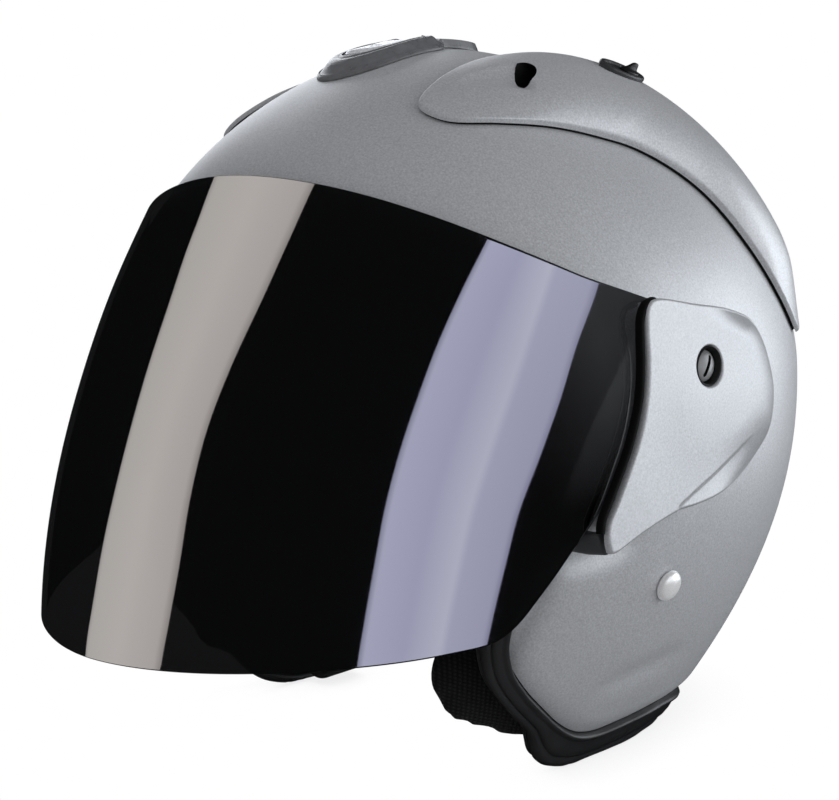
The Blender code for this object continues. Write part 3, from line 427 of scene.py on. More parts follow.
# ------------------------------------------------------------------ materials
class Nodes:
    """Writes a material's node graph in order."""

    def __init__(self, name):
        self.mat = bpy.data.materials.new(name)
        self.mat.use_nodes = True
        self.tree = self.mat.node_tree
        self.tree.nodes.clear()
        self.out = self.new("OutputMaterial")
        self.coords_node = None

    def new(self, kind):
        return self.tree.nodes.new("ShaderNode" + kind)

    @property
    def coords(self):
        """Object coordinates, from one node made on first use."""
        if self.coords_node is None:
            self.coords_node = self.new("TexCoord")
        return self.coords_node.outputs["Object"]

    def put(self, socket, value):
        if isinstance(value, bpy.types.NodeSocket):
            self.tree.links.new(value, socket)
        else:
            socket.default_value = value

    def noise(self, scale, detail=2.0, rough=0.5, stretch=None):
        coords = self.coords
        if stretch:
            mapped = self.new("Mapping")
            self.put(mapped.inputs["Vector"], coords)
            mapped.inputs["Scale"].default_value = stretch
            coords = mapped.outputs["Vector"]
        made = self.new("TexNoise")
        self.put(made.inputs["Vector"], coords)
        made.inputs["Scale"].default_value = scale
        made.inputs["Detail"].default_value = detail
        made.inputs["Roughness"].default_value = rough
        return made.outputs["Fac"]

    def ramp(self, value, stops):
        """Colour ramp through (position, colour or grey) stops."""
        made = self.new("ValToRGB")
        self.put(made.inputs["Fac"], value)
        elements = made.color_ramp.elements
        while len(elements) < len(stops):
            elements.new(0.5)
        for element, (position, colour) in zip(elements, stops):
            element.position = position
            is_colour = isinstance(colour, tuple)
            element.color = (*colour, 1) if is_colour else (colour, colour, colour, 1)
        return made.outputs["Color"]

    def fade(self, value, start, end, low=0.0, high=1.0):
        """Goes from `low` to `high` as the value goes from `start` to `end`."""
        return self.ramp(value, [(start, low), (end, high)])

    def math(self, operation, first, second=None):
        made = self.new("Math")
        made.operation = operation
        self.put(made.inputs[0], first)
        if second is not None:
            self.put(made.inputs[1], second)
        return made.outputs[0]

    def plus(self, first, second):
        return self.math("ADD", first, second)

    def times(self, first, second):
        return self.math("MULTIPLY", first, second)

    def wave(self, value, per_metre):
        return self.math("SINE", self.times(value, per_metre * 2 * math.pi))

    def mix(self, factor, first, second):
        made = self.new("Mix")
        made.data_type = "RGBA"
        self.put(made.inputs[0], factor)
        for socket, colour in ((made.inputs[6], first), (made.inputs[7], second)):
            self.put(socket, (*colour, 1) if isinstance(colour, tuple) else colour)
        return made.outputs[2]

    def bump(self, height, strength, distance, chain=None):
        made = self.new("Bump")
        made.inputs["Strength"].default_value = strength
        made.inputs["Distance"].default_value = distance
        self.put(made.inputs["Height"], height)
        if chain is not None:
            self.put(made.inputs["Normal"], chain)
        return made.outputs["Normal"]

    def xyz(self):
        made = self.new("SeparateXYZ")
        self.put(made.inputs[0], self.coords)
        return made.outputs

    def principled(self, **values):
        made = self.new("BsdfPrincipled")
        for key, value in values.items():
            if isinstance(value, tuple):
                value = (*value, 1)
            self.put(made.inputs[key.replace("_", " ")], value)
        return made.outputs[0]

    def transparent(self, colour):
        made = self.new("BsdfTransparent")
        made.inputs["Color"].default_value = (*colour, 1)
        return made.outputs[0]

    def mix_shader(self, factor, first, second):
        made = self.new("MixShader")
        for socket, value in zip(made.inputs, (factor, first, second)):
            self.put(socket, value)
        return made.outputs[0]

    def finish(self, shader):
        self.put(self.out.inputs["Surface"], shader)
        return self.mat

    def surface(self, **values):
        return self.finish(self.principled(**values))


def shade(colour, factor):
    return tuple(min(1.0, channel * factor) for channel in colour)


def paint_material(name, tint=(0.52, 0.527, 0.542), metal=0.55, rough=0.46, fineness=1.0):
    """Fine metallic paint; `fineness` scales all its textures."""
    n = Nodes(name)
    grain = n.noise(scale=1500 * fineness, detail=3.0, rough=0.65)
    flake = n.noise(scale=5200 * fineness, detail=1.0)
    cloud = n.noise(scale=18 * fineness)
    colour = n.mix(n.fade(grain, start=0.30, end=0.70), shade(tint, 0.80), shade(tint, 1.22))
    colour = n.mix(n.fade(flake, start=0.60, end=0.74, high=0.45), colour, shade(tint, 1.5))
    colour = n.mix(n.fade(cloud, start=0.35, end=0.7, high=0.10), colour, shade(tint, 1.12))
    bump = n.bump(grain, strength=0.10, distance=0.0002)
    ripple = n.noise(scale=420 * fineness, detail=1.0)
    bump = n.bump(ripple, strength=0.05, distance=0.0004, chain=bump)
    return n.surface(
        Base_Color=colour, Metallic=metal,
        Roughness=n.fade(grain, start=0.2, end=0.8, low=rough - 0.05, high=rough + 0.07),
        Normal=bump, Specular_IOR_Level=0.4)


def visor_material():
    """Dark mirror pane, see-through as smoke. Where the shell sits behind it, a painted grey stands
    in for the lit shell seen through it.
    """
    n = Nodes("visor_smoke_mirror")
    smear = n.noise(scale=26, detail=3.0, rough=0.6)
    _, y, z = n.xyz()
    # painted light: a grey mask over the pane's rear and upper part, where the lit shell would show
    # through the smoke
    far = n.fade(n.plus(n.times(y, 10.0), 1.0), start=0.40, end=0.66)
    slanted = n.math("SUBTRACT", y, n.times(z, 0.63))
    edge = n.fade(n.plus(n.times(slanted, 10.0), 2.0), start=0.778, end=0.786)
    high = n.fade(n.times(z, 4.0), start=0.42, end=0.62)
    painted_shell_light_mask = n.times(n.plus(n.times(far, 0.5), n.times(edge, 0.5)), high)
    base_with_painted_shell_light = n.mix(painted_shell_light_mask, (0.0008, 0.0008, 0.0009), (0.090, 0.093, 0.097))
    dust = n.noise(scale=900, rough=0.6)
    bump = n.bump(n.noise(scale=9, detail=1.0), strength=0.04, distance=0.002)
    mirror = n.principled(
        Base_Color=n.mix(n.fade(smear, start=0.3, end=0.9, high=0.25), base_with_painted_shell_light,
                         (0.0014, 0.0014, 0.0015)),
        Metallic=0.0, Roughness=n.fade(dust, start=0.35, end=0.75, low=0.02, high=0.04),
        Normal=bump, Specular_IOR_Level=1.0, IOR=2.6)
    smoke = n.transparent((0.06, 0.06, 0.062))
    shadow = n.transparent((0.60, 0.60, 0.61))
    front = n.new("AddShader")
    n.put(front.inputs[0], mirror)
    n.put(front.inputs[1], smoke)
    backfacing = n.new("NewGeometry").outputs["Backfacing"]
    pane = n.mix_shader(backfacing, front.outputs[0], smoke)
    shadow_ray = n.new("LightPath").outputs["Is Shadow Ray"]
    return n.finish(n.mix_shader(shadow_ray, pane, shadow))


def rubber_material(name, tone, rough):
    n = Nodes(name)
    fine = n.noise(scale=2600, detail=3.0, rough=0.6)
    wide = n.noise(scale=60)
    colour = n.mix(n.fade(wide, start=0.3, end=0.75),
                   (tone * 0.85, tone * 0.87, tone * 0.9), (tone * 1.2, tone * 1.21, tone * 1.24))
    colour = n.mix(n.fade(fine, start=0.45, end=0.8, high=0.35), colour,
                   (tone * 1.9, tone * 1.9, tone * 1.95))
    return n.surface(
        Base_Color=colour,
        Roughness=n.fade(fine, start=0.2, end=0.8, low=rough - 0.06, high=rough + 0.12),
        Normal=n.bump(fine, strength=0.16, distance=0.00025), Specular_IOR_Level=0.45)


def plastic_material(name, tone, rough):
    n = Nodes(name)
    grain = n.noise(scale=3200, rough=0.55)
    wear = n.noise(scale=220, detail=4.0, rough=0.65)
    colour = n.mix(n.fade(wear, start=0.4, end=0.75), tone, shade(tone, 1.35))
    return n.surface(
        Base_Color=colour,
        Roughness=n.fade(wear, start=0.3, end=0.8, low=rough - 0.05, high=rough + 0.1),
        Normal=n.bump(grain, strength=0.14, distance=0.0002), Specular_IOR_Level=0.5)


def metal_material(name, tone, rough, brushed=0.0):
    """Bare metal; `brushed` adds to the bump and draws the scratches out along Y."""
    n = Nodes(name)
    if brushed:
        scratch = n.noise(scale=900, detail=3.0, rough=0.6, stretch=(1, 0.08, 1))
    else:
        scratch = n.noise(scale=700, detail=4.0, rough=0.6)
    colour = n.mix(n.fade(scratch, start=0.3, end=0.8), shade(tone, 0.9), tone)
    return n.surface(
        Base_Color=colour, Metallic=1.0,
        Roughness=n.fade(scratch, start=0.3, end=0.8, low=rough - 0.05, high=rough + 0.07),
        Normal=n.bump(scratch, strength=0.06 + brushed, distance=0.0002))


def foam_material():
    n = Nodes("eps_foam_beads")
    cells = n.new("TexVoronoi")
    n.put(cells.inputs["Vector"], n.coords)
    cells.inputs["Scale"].default_value = 330
    beads = cells.outputs["Distance"]
    colour = n.mix(n.fade(beads, start=0.0, end=0.7, low=1.0, high=0.0),
                   (0.010, 0.010, 0.011), (0.022, 0.022, 0.023))
    return n.surface(Base_Color=colour, Roughness=0.85,
                     Normal=n.bump(beads, strength=0.5, distance=0.0008))


def air_mesh_material():
    """Black knit: ribs up the pad with small holes between them."""
    n = Nodes("black_air_mesh")
    ribs_per_metre = 520.0
    x, y, z = n.xyz()
    along = n.plus(n.times(x, 0.55), y)
    ribs = n.wave(along, ribs_per_metre)
    holes = n.wave(n.plus(z, n.times(along, 0.35)), ribs_per_metre * 1.35)
    weave = n.times(n.plus(ribs, 1.0), n.plus(n.times(holes, 0.5), 1.0))
    fuzz = n.noise(scale=3800, detail=3.0, rough=0.7)
    height = n.plus(n.times(weave, 0.4), fuzz)
    colour = n.mix(n.fade(n.times(weave, 0.35), start=0.15, end=0.9),
                   (0.0008, 0.0008, 0.0009), (0.0065, 0.0065, 0.007))
    colour = n.mix(n.fade(fuzz, start=0.5, end=0.8, high=0.4), colour, (0.009, 0.009, 0.0095))
    return n.surface(
        Base_Color=colour, Roughness=0.92, Sheen_Weight=0.05, Sheen_Roughness=0.5,
        Normal=n.bump(height, strength=0.7, distance=0.0006), Specular_IOR_Level=0.2)


def brushed_cloth_material():
    n = Nodes("black_brushed_lining")
    fuzz = n.noise(scale=1700, detail=4.0, rough=0.7)
    patch = n.noise(scale=55)
    colour = n.mix(n.fade(fuzz, start=0.35, end=0.75),
                   (0.003, 0.003, 0.0032), (0.010, 0.010, 0.011))
    colour = n.mix(n.fade(patch, start=0.4, end=0.7, high=0.3), colour, (0.028, 0.028, 0.030))
    return n.surface(
        Base_Color=colour, Roughness=0.95, Sheen_Weight=0.1, Sheen_Roughness=0.4,
        Normal=n.bump(fuzz, strength=0.55, distance=0.0008), Specular_IOR_Level=0.15)


def webbing_material():
    n = Nodes("black_webbing_weave")
    x, y, z = n.xyz()
    rib = n.wave(y, 620)
    cross = n.wave(n.plus(z, n.times(x, 0.9)), 900)
    weave = n.times(rib, cross)
    fuzz = n.noise(scale=3000, rough=0.6)
    height = n.plus(n.times(weave, 0.5), n.times(fuzz, 0.7))
    colour = n.mix(n.fade(n.plus(n.times(weave, 0.5), 0.5), start=0.1, end=0.9),
                   (0.007, 0.007, 0.008), (0.026, 0.026, 0.028))
    return n.surface(
        Base_Color=colour, Roughness=0.75, Sheen_Weight=0.15,
        Normal=n.bump(height, strength=0.5, distance=0.0005), Specular_IOR_Level=0.3)


PAINT = paint_material("silver_paint_matt")
# Side covers: a darker copy of the shell's paint, painted shade that offsets the extra light on
# their outward-facing faces
COVER_PAINT_WITH_PAINTED_SHADE = paint_material("silver_paint_covers_painted_shade", tint=(0.445, 0.452, 0.466))
SLIDER_PAINT = paint_material("vent_slider_paint", tint=(0.62, 0.63, 0.65), metal=0.35, rough=0.35)
VISOR = visor_material()
RUBBER = rubber_material("trim_rubber", tone=0.017, rough=0.36)
# Near-black matt rubber for the cover's front lip and the wing gaskets: real strips, but made black
# and matt as painted shadow for the gaps beside them
SEAL_RUBBER_SHADOW_GAP = rubber_material("seal_rubber_painted_shadow_gap", tone=0.0012, rough=0.85)
PLASTIC = plastic_material("dark_plastic_grained", tone=(0.026, 0.0265, 0.028), rough=0.38)
VENT_PLASTIC = plastic_material("vent_plastic_grey", tone=(0.085, 0.086, 0.09), rough=0.30)
PLASTIC_DARK = plastic_material("black_plastic_grained", tone=(0.006, 0.006, 0.0065), rough=0.42)
CHROME = metal_material("chrome_polished", tone=(0.88, 0.88, 0.88), rough=0.16)
RIVET = paint_material("rivet_satin_nickel", tint=(0.86, 0.85, 0.84), metal=0.45, rough=0.30,
                       fineness=3.0)
STEEL = metal_material("dark_steel_brushed", tone=(0.30, 0.30, 0.31), rough=0.42, brushed=0.12)
SCREW_STEEL = plastic_material("screw_black_oxide", tone=(0.15, 0.152, 0.155), rough=0.30)
FOAM = foam_material()
AIR_MESH = air_mesh_material()
BRUSHED = brushed_cloth_material()
WEBBING = webbing_material()
# Near-black for the walls cut into the screw slots and the wing intakes: painted shade for the dark
# inside these holes
HOLE_PAINTED_SHADE = plastic_material("hole_walls_painted_shade", tone=(0.002, 0.002, 0.0022), rough=0.8)

# ------------------------------------------------------------------ shell
# Lines pressed into the shell's side, as (y, z)
TOE_LINE = [
    (-24, -44.0), (-38.8, -47.2), (-48.2, -47.9), (-52.5, -48.9), (-55.8, -50.8), (-58.1, -53.8),
    (-60.0, -57.5), (-61.4, -61.5), (-63.6, -67.0), (-66.0, -75.0), (-69.0, -86.0),
    (-72.0, -100.0),
]
CHEEK_LINE = [(-33, -99.5), (-16, -98.6), (0, -97.4), (14, -95.8), (27, -93.4)]


def shell_dip(points, rim):
    """How far the painted surface sits below the plain envelope."""
    side_view = points[..., 1:]
    beside = smooth((np.abs(points[..., 0]) - 60) / 20)
    distance, _, side = to_line(side_view, TOE_LINE)
    forward = smooth((-20 - points[..., 1]) / 14)
    # a broad recess above the toe line, a short run-out below it
    above = 2.4 * (1 - smooth((distance - 16) / 14))
    below = 2.4 * np.clip(1 - distance / 9.0, 0, 1) ** 2.2
    dip = np.where(side < 0, above, below) * forward * beside
    distance, along, _ = to_line(side_view, CHEEK_LINE)
    ends = smooth(along / 0.3) * smooth((1 - along) / 0.45)
    dip += beside * ends * (1.35 * bell(distance / 4.6))
    # the surface rolls in towards the rim
    left = points.copy()
    left[..., 0] = np.abs(left[..., 0])
    distance, _, _ = to_line(left, rim[::3])
    return dip + 2.1 * np.clip(1 - distance / 8.5, 0, 1) ** 2.0


def shell_piece():
    """Left half as a polar sheet out to the rim and the middle plane, mirrored and merged."""
    pole = np.array([0.985, 0.045, 0.165])
    fine_rim = half_rim(260)
    rim = spline(fine_rim, 210)
    rim[[0, -1], 0] = 0.0
    # back over the crown in the middle plane, from the rim's back end to its front end
    start = math.atan2(rim[-1, 2], rim[-1, 1])
    stop = math.atan2(rim[0, 2], rim[0, 1])
    angles = np.linspace(start, stop, 112)[1:-1]
    arc = np.stack([0 * angles, np.cos(angles), np.sin(angles)], -1)
    around = np.concatenate([unit(rim), arc])
    in_middle = np.abs(around[:, 0]) < 1e-9

    def rays(shares):
        made = slerp(pole, around, shares)
        made[in_middle, -1, 0] = 0.0
        return made

    base = on_shell(rays(1 - (1 - np.linspace(0, 1, 75)[1:]) ** 1.45))
    outer = base - normals(base) * shell_dip(base, fine_rim)[..., None]
    outer[in_middle, -1, 0] = 0.0
    inner = on_shell(rays(np.linspace(0, 1, 13)[1:]), -SHELL_WALL)
    inner[in_middle, -1, 0] = 0.0
    points, faces = pillow(on_shell(pole), outer, on_shell(pole, -SHELL_WALL), inner,
                           stitched=len(rim) - 1)
    total = len(points)
    faces += [tuple(i + total for i in face[::-1]) for face in faces]
    add("shell_painted", np.concatenate([points, points * MIRROR]), faces, PAINT, "silver_paint",
        sharp=50, replaces="shell", merge=0.004)


shell_piece()

# ------------------------------------------------------------------ edge trim
# Section of the trim, from its edge beside the paint: share of the visible height and plain mm
# (both away from the shell's side, over the rim), then mm along the shell's normal
TRIM_PROFILE = [
    (0, 0.35, -3.4), (0, 0.35, -1.7), (0, 0.5, -0.35), (0, 0.95, 0.35), (0, 1.6, 0.5),
    (0, 2.2, 0.25), (0, 2.65, -0.25), (0.0, 3.3, -0.3), (0.4, 0, -0.05), (0.56, 0, -0.25),
    (0.63, 0, -0.75), (0.67, 0, -1.5), (0.72, 0, -1.15), (0.78, 0, -0.85), (0.86, 0, -1.0),
    (0.93, 0, -1.6), (0.985, 0, -2.8), (1.0, 0, -4.2), (0.985, 0, -5.0), (0.90, 0, -5.35),
    (0.84, 0, -5.6), (0.84, 0, -6.1), (0.92, 0, -6.35), (0.985, 0, -6.75), (1.0, 0, -7.35),
    (0.96, 0, -7.95), (0.86, 0, -8.2), (0.5, 0, -8.2), (0, 2.0, -8.2), (0, 0.9, -7.0),
    (0, 0.4, -5.2),
]
TRIM_UPPER, TRIM_LOWER, TRIM_BOTTOM = 5.5, 9.6, 17.0  # trim heights, from the brow downward


def trim_piece():
    left = half_rim(330)
    loop = np.concatenate([left, left[-2:0:-1] * MIRROR])
    run = loop_run(loop)
    lift = square_to(normals(loop), run)
    away = np.cross(run, lift)
    pole = on_shell(np.array([0.92, 0.14, 0.36]))
    inward = np.where(loop[:, :1] >= 0, pole, pole * MIRROR) - loop
    away *= np.where((away * inward).sum(-1) > 0, -1.0, 1.0)[:, None]
    low = smooth((20.0 - loop[:, 2:]) / 90.0)
    height = TRIM_UPPER + (TRIM_LOWER - TRIM_UPPER) * low
    height = height + (TRIM_BOTTOM - TRIM_LOWER) * smooth((-loop[:, 2:] - 105.0) / 13.0)
    share, plain, depth = np.array(TRIM_PROFILE).T
    reach = plain * (0.55 + 0.45 * low) + share * height
    depth = depth - 0.8 * (1 - low)
    sections = loop[:, None] + away[:, None] * reach[..., None] + lift[:, None] * depth[..., None]
    sections[..., 2] = np.maximum(sections[..., 2], -BASE_DROP)
    add("trim_profiled", *sweep(sections, True), RUBBER, "dark_rubber", sharp=60,
        replaces="edge_trim")


trim_piece()

# ------------------------------------------------------------------ face shield
SHIELD_WALL = 2.0
SHIELD_POWER = 1.897  # rounding of the plan curve
SHIELD_SPAN = 70.0  # height unit of the next two polynomials
SHIELD_HALF = (129.0, -11.92)  # half width against height
SHIELD_FRONT = (149.3, -29.03, -11.68)  # front reach against height
SHIELD_TOP = (28.09, -26.6, 29.96)  # top edge's z against y / 100
SHIELD_SWELL = 3.6
EAR_RADIUS, EAR_HOLE = 16.0, 9.5
EAR_FACE = 126.9  # x of the flat round the pivot
EAR_FLAT, EAR_BLEND = 24.0, 58.0  # radii where the flat ends and where the blend ends
THETA_SIDE = math.radians(52.0)  # plan angle where the columns change from angle to y
FRONT_COLUMNS, SIDE_COLUMNS, SHIELD_ROWS = 110, 95, 60
# Lower edge, front to back: (y, z)
SHIELD_LOWER_EDGE = [
    (-169.0, -71.2), (-140.0, -69.2), (-116.0, -67.4), (-102.0, -65.8), (-93.6, -64.6),
    (-88.5, -62.6), (-83.0, -58.6), (-76.4, -52.1), (-70.0, -45.8), (-64.0, -39.7),
    (-57.5, -33.6), (-50.0, -26.5), (-41.0, -18.0), (-32.0, -11.0), (-22.0, -6.2),
    (-12.0, -3.8), (2.0, -3.0),
]
lower_edge = spline(SHIELD_LOWER_EDGE, 240)


def shield_half(z):
    return SHIELD_HALF[0] + SHIELD_HALF[1] * z / SHIELD_SPAN


def shield_front(z):
    rise = z / SHIELD_SPAN
    return SHIELD_FRONT[0] + SHIELD_FRONT[1] * rise + SHIELD_FRONT[2] * rise * rise


def shield_x(y, z):
    """Outer face at a side-view place: the plain curve, a swell, and the flat ear."""
    ahead = (np.clip(-y, 0, None) / shield_front(z)) ** SHIELD_POWER
    plain = shield_half(z) * np.clip(1 - ahead, 0, None) ** (1 / SHIELD_POWER)
    swell = SHIELD_SWELL * np.exp(-(((y + 68.0) / 34.0) ** 2) - ((z - 30.0) / 26.0) ** 2)
    radius = np.hypot(y - PIVOT_Y, z - PIVOT_Z)
    ear = smooth((EAR_BLEND - radius) / (EAR_BLEND - EAR_FLAT))
    return (plain + swell) * (1 - ear) + EAR_FACE * ear


def shield_point(theta, z):
    """Outer face at a plan angle from the front, and a height."""
    x = shield_half(z) * np.sin(theta) ** (2 / SHIELD_POWER)
    y = -shield_front(z) * np.cos(theta) ** (2 / SHIELD_POWER)
    return np.where(y > -140.0, shield_x(y, z), x), y, z


def ear_rise(y):
    """Half height of the round ear behind the pivot."""
    return np.sqrt(np.clip(EAR_RADIUS**2 - np.clip(y - PIVOT_Y, 0, None) ** 2, 0, None))


def shield_top(y):
    back = y / 100.0
    edge = SHIELD_TOP[0] + SHIELD_TOP[1] * back + SHIELD_TOP[2] * back * back
    ear = smooth((y + 16.0) / 16.0)
    return edge * (1 - ear) + (PIVOT_Z + ear_rise(y)) * ear


def shield_low(y):
    edge = np.interp(y, lower_edge[:, 0], lower_edge[:, 1])
    return np.where(y > PIVOT_Y, PIVOT_Z - ear_rise(y), edge)


def shield_on(theta, share):
    """Outer face at a plan angle and a share of the height; height and y are solved together."""
    z = np.zeros(np.broadcast(theta, share).shape)
    for _ in range(40):
        y = shield_point(theta, z)[1]
        low, high = shield_low(y), shield_top(y)
        z = 0.5 * z + 0.5 * (low + (high - low) * share)
    return np.stack(shield_point(theta, z), -1)


def shield_grid():
    """Left half of the outer face: (columns from the middle back, rows upward, 3)."""
    share = 0.5 - 0.5 * np.cos(np.linspace(0, np.pi, SHIELD_ROWS))
    share = 0.55 * share + 0.45 * np.linspace(0, 1, SHIELD_ROWS)
    theta = np.linspace(0, THETA_SIDE, FRONT_COLUMNS + 1)
    front = shield_on(theta[:, None], share[None])
    start = front[-1, :, 1]
    end = PIVOT_Y + EAR_RADIUS * 0.985
    back = np.sin(np.linspace(0, 1, SIDE_COLUMNS + 1)[1:] * math.pi / 2)
    y = start[None] + (end - start[None]) * back[:, None]
    low, high = shield_low(y), shield_top(y)
    z = low + (high - low) * share[None]
    side = np.stack([shield_x(y, z), y, z], -1)
    return np.concatenate([front, side])


def visor_level(points):
    """Zero on the pane's plain curve, without its swell and ears; above zero outside."""
    x, y, z = points[..., 0], points[..., 1], points[..., 2]
    across = (np.abs(x) / shield_half(z)) ** SHIELD_POWER
    return across + (np.clip(-y, 0, None) / shield_front(z)) ** SHIELD_POWER - 1


def fair_shading(piece):
    """Shades the outer face by the plain curve's normals, as one fair surface."""
    mesh = piece.data
    own = np.array([tuple(vertex.normal) for vertex in mesh.vertices])
    places = to_shell(vertex_places(mesh) + np.array(tuple(piece.location)))
    fair = slope(visor_level, places, step=1e-3)
    use = ((own * fair).sum(-1) > 0.93)[:, None]
    # a zero vector keeps the vertex's own normal
    mesh.normals_split_custom_set_from_vertices(np.where(use, fair, 0.0).tolist())


def shield_piece():
    left = shield_grid()
    grid = np.concatenate([left[:0:-1] * MIRROR, left])
    facing = unit(np.cross(np.gradient(grid, axis=0), np.gradient(grid, axis=1)))
    facing *= np.sign((grid * facing).sum(-1, keepdims=True))
    # the ears' wall is taken straight along X
    radius = np.hypot(grid[..., 1] - PIVOT_Y, grid[..., 2] - PIVOT_Z)[..., None]
    ear = smooth((40.0 - radius) / 16.0) * (np.abs(grid[..., 0:1]) > 100)
    sideways = np.sign(grid[..., 0:1]) * np.array([1.0, 0, 0])
    facing = unit(facing * (1 - ear) + sideways * ear)
    inner = grid - facing * SHIELD_WALL

    def edge(layer):
        """Along the bottom right to left, up the left end, back along the top, down the right."""
        return np.concatenate([layer[:, 0], layer[-1, 1:-1], layer[::-1, -1], layer[0, -2:0:-1]])

    outer_edge, inner_edge = edge(grid), edge(inner)
    push = np.concatenate([
        unit(grid[:, 0] - grid[:, 1]), unit((grid[-1] - grid[-2])[1:-1]),
        unit(grid[:, -1] - grid[:, -2])[::-1], unit((grid[0] - grid[1])[-2:0:-1])])
    # rounded edge: (depth through the wall, swell past the outline)
    rings = []
    for depth, swell in ((0.3, 0.38), (0.8, 0.55), (1.3, 0.5), (1.75, 0.25)):
        share = depth / SHIELD_WALL
        rings.append(outer_edge * (1 - share) + inner_edge * share + push * swell)

    columns, rows = grid.shape[:2]
    index = np.arange(2 * columns * rows).reshape(2, columns, rows)
    out, into = index
    faces = []
    for i in range(columns - 1):
        for j in range(rows - 1):
            faces.append((out[i, j], out[i + 1, j], out[i + 1, j + 1], out[i, j + 1]))
            faces.append((into[i, j], into[i, j + 1], into[i + 1, j + 1], into[i + 1, j]))
    around = len(outer_edge)
    chain = [edge(out)]
    chain += [index.size + k * around + np.arange(around) for k in range(len(rings))]
    chain.append(edge(into))
    for first, second in zip(chain[:-1], chain[1:]):
        for k in range(around):
            after = (k + 1) % around
            faces.append((first[k], second[k], second[after], first[after]))
    points = np.concatenate([grid.reshape(-1, 3), inner.reshape(-1, 3), *rings])
    piece = add("visor", points, faces, VISOR, "smoke_mirror", sharp=70, replaces="face_shield",
                body="shield")
    for sign in (-1, 1):
        hole = lathe([(0, -12), (EAR_HOLE, -12), (EAR_HOLE, 12), (0, 12)],
                     np.array([sign * 126.0, PIVOT_Y, PIVOT_Z]), [sign, 0, 0], around=48)
        cut(piece, *hole, VISOR)
    smooth_faces(piece.data)
    piece.data.set_sharp_from_angle(angle=math.radians(60))
    fair_shading(piece)
    return piece


visor = shield_piece()

# ------------------------------------------------------------------ side covers
POD_WALL = 2.2
POD_FACE = 131.6  # least x of the cover's raised face
POD_SHELL_GAP = 0.6
POD_FILLET = 1.1
POD_HOLE = 6.9  # radius of the screw's hole
POD_HOLE_CENTRE = np.array([SCREW_Y, SCREW_Z])
# Outline of the cover: (y, z)
POD_EDGE = [
    (-26, 37.0), (-7.3, 33.6), (11, 30.6), (25.2, 27.6), (34.5, 24.5), (40.5, 17.8), (44.5, 7.8),
    (46.9, -3.5), (44.5, -14.5), (38.1, -20.9), (25.8, -27.3), (8, -31.6), (-8.7, -33.6),
    (-22, -34.2), (-39.0, -37.8), (-52.5, -41.6), (-55.5, -39.4), (-55.3, -32.5),
    (-50.0, -25.0), (-44.6, -17.0), (-39.2, -8.0), (-35.6, 1.0), (-33.6, 10.5),
    (-33.0, 19.2), (-33.2, 27.8), (-32.0, 35.0),
]
# Crease across the lower part of the cover, front to back: (y, z)
POD_CREASE = [(-20.5, -33.6), (-18.7, -31.9), (-8.9, -27.9), (2.1, -23.6), (14.3, -18.8),
              (25.0, -14.4)]


def pod_face(places, share, rim_y):
    """Plain outer face at side-view places, at a share of the way out from the hole."""
    side = side_x(places[..., 0], places[..., 1])
    rear = smooth((rim_y + 4.0) / 40.0)
    plateau = soft_max(side + 8.6, POD_FACE, blend=1.0)
    edge = side + POD_SHELL_GAP + POD_WALL + 0.4
    roll = np.clip((share - 0.46) / 0.54, 0, 1) ** 1.8
    return plateau * (1 - rear * roll) + edge * rear * roll


def pod_dip(places):
    """Depth of the crease and of the step below it."""
    distance, along, side = to_line(places, POD_CREASE)
    step = smooth(distance / 0.9) * (side < 0)
    ends = smooth((1 - along) / 0.16) * smooth(along / 0.03)
    fall = 1 - 0.85 * smooth(distance / 9.0)
    return (0.75 * step * fall + 0.55 * bell(distance / 0.40)) * ends


def pod_piece():
    """The cover as closed rings, from the hole out over the face, round the edge and back."""
    rim = spline(POD_EDGE, 380, closed=True)
    inward = quarter_turn(loop_run(rim))
    to_hole = POD_HOLE_CENTRE - rim
    inward *= np.sign((inward * to_hole).sum(-1, keepdims=True))
    to_hole = unit(to_hole)
    inward = unit(inward * 0.35 + to_hole * 0.65)
    hole = POD_HOLE_CENTRE - to_hole * POD_HOLE

    def ring(x, places):
        return np.column_stack([x, places])

    # outer face
    shares = 1 - (1 - np.linspace(0, 1, 104)) ** 1.15
    face_edge = rim + inward * POD_FILLET
    places = hole[:, None] + (face_edge - hole)[:, None] * shares[None, :, None]
    from_hole = np.linalg.norm(places - hole[:, None], axis=-1)
    out_share = from_hole / np.linalg.norm(rim - hole, axis=-1)[:, None]
    hole_lip = np.clip(1 - from_hole / 0.7, 0, 1) ** 2 * 0.6
    face_x = pod_face(places, out_share, rim[:, None, 0]) - pod_dip(places) - hole_lip
    rows = [ring(face_x[:, j], places[:, j]) for j in range(len(shares))]
    # rounded edge
    edge_x = face_x[:, -1]
    for turn in np.radians([18, 36, 54, 72, 90]):
        rows.append(ring(edge_x - POD_FILLET * (1 - math.cos(turn)),
                         rim + inward * POD_FILLET * (1 - math.sin(turn))))
    # outer wall: down to the shell except where the shield passes under
    free = smooth((rim[:, 0] - 12.0) / 5.0)
    toe = smooth((-34.0 - rim[:, 1]) / 3.0) * smooth((rim[:, 0] + 49.0) / 4.0)
    free = np.maximum(free, toe)
    wall_x = edge_x - POD_WALL
    floor_x = side_x(rim[:, 0], rim[:, 1]) + 0.45
    low = np.minimum(wall_x, wall_x * (1 - free) + floor_x * free)
    rows.append(ring(low, rim))
    rows.append(ring(low, rim + inward * 1.5))

    # inner face
    def under(places, share):
        return pod_face(places, share, rim[:, 0]) - pod_dip(places) - POD_WALL

    inside = rim + inward * 1.9
    rows.append(ring(np.maximum(under(inside, 0.97), low), inside))
    for share in (0.9, 0.82, 0.74, 0.66, 0.58, 0.5, 0.35, 0.2, 0.0):
        places = hole + (inside - hole) * share
        rows.append(ring(under(places, share), places))
    # the covers take the darker copy of the paint, as painted shade
    both("pod", *sweep(rows, True), COVER_PAINT_WITH_PAINTED_SHADE, "silver_paint", sharp=55, replaces="side_cover")


pod_piece()


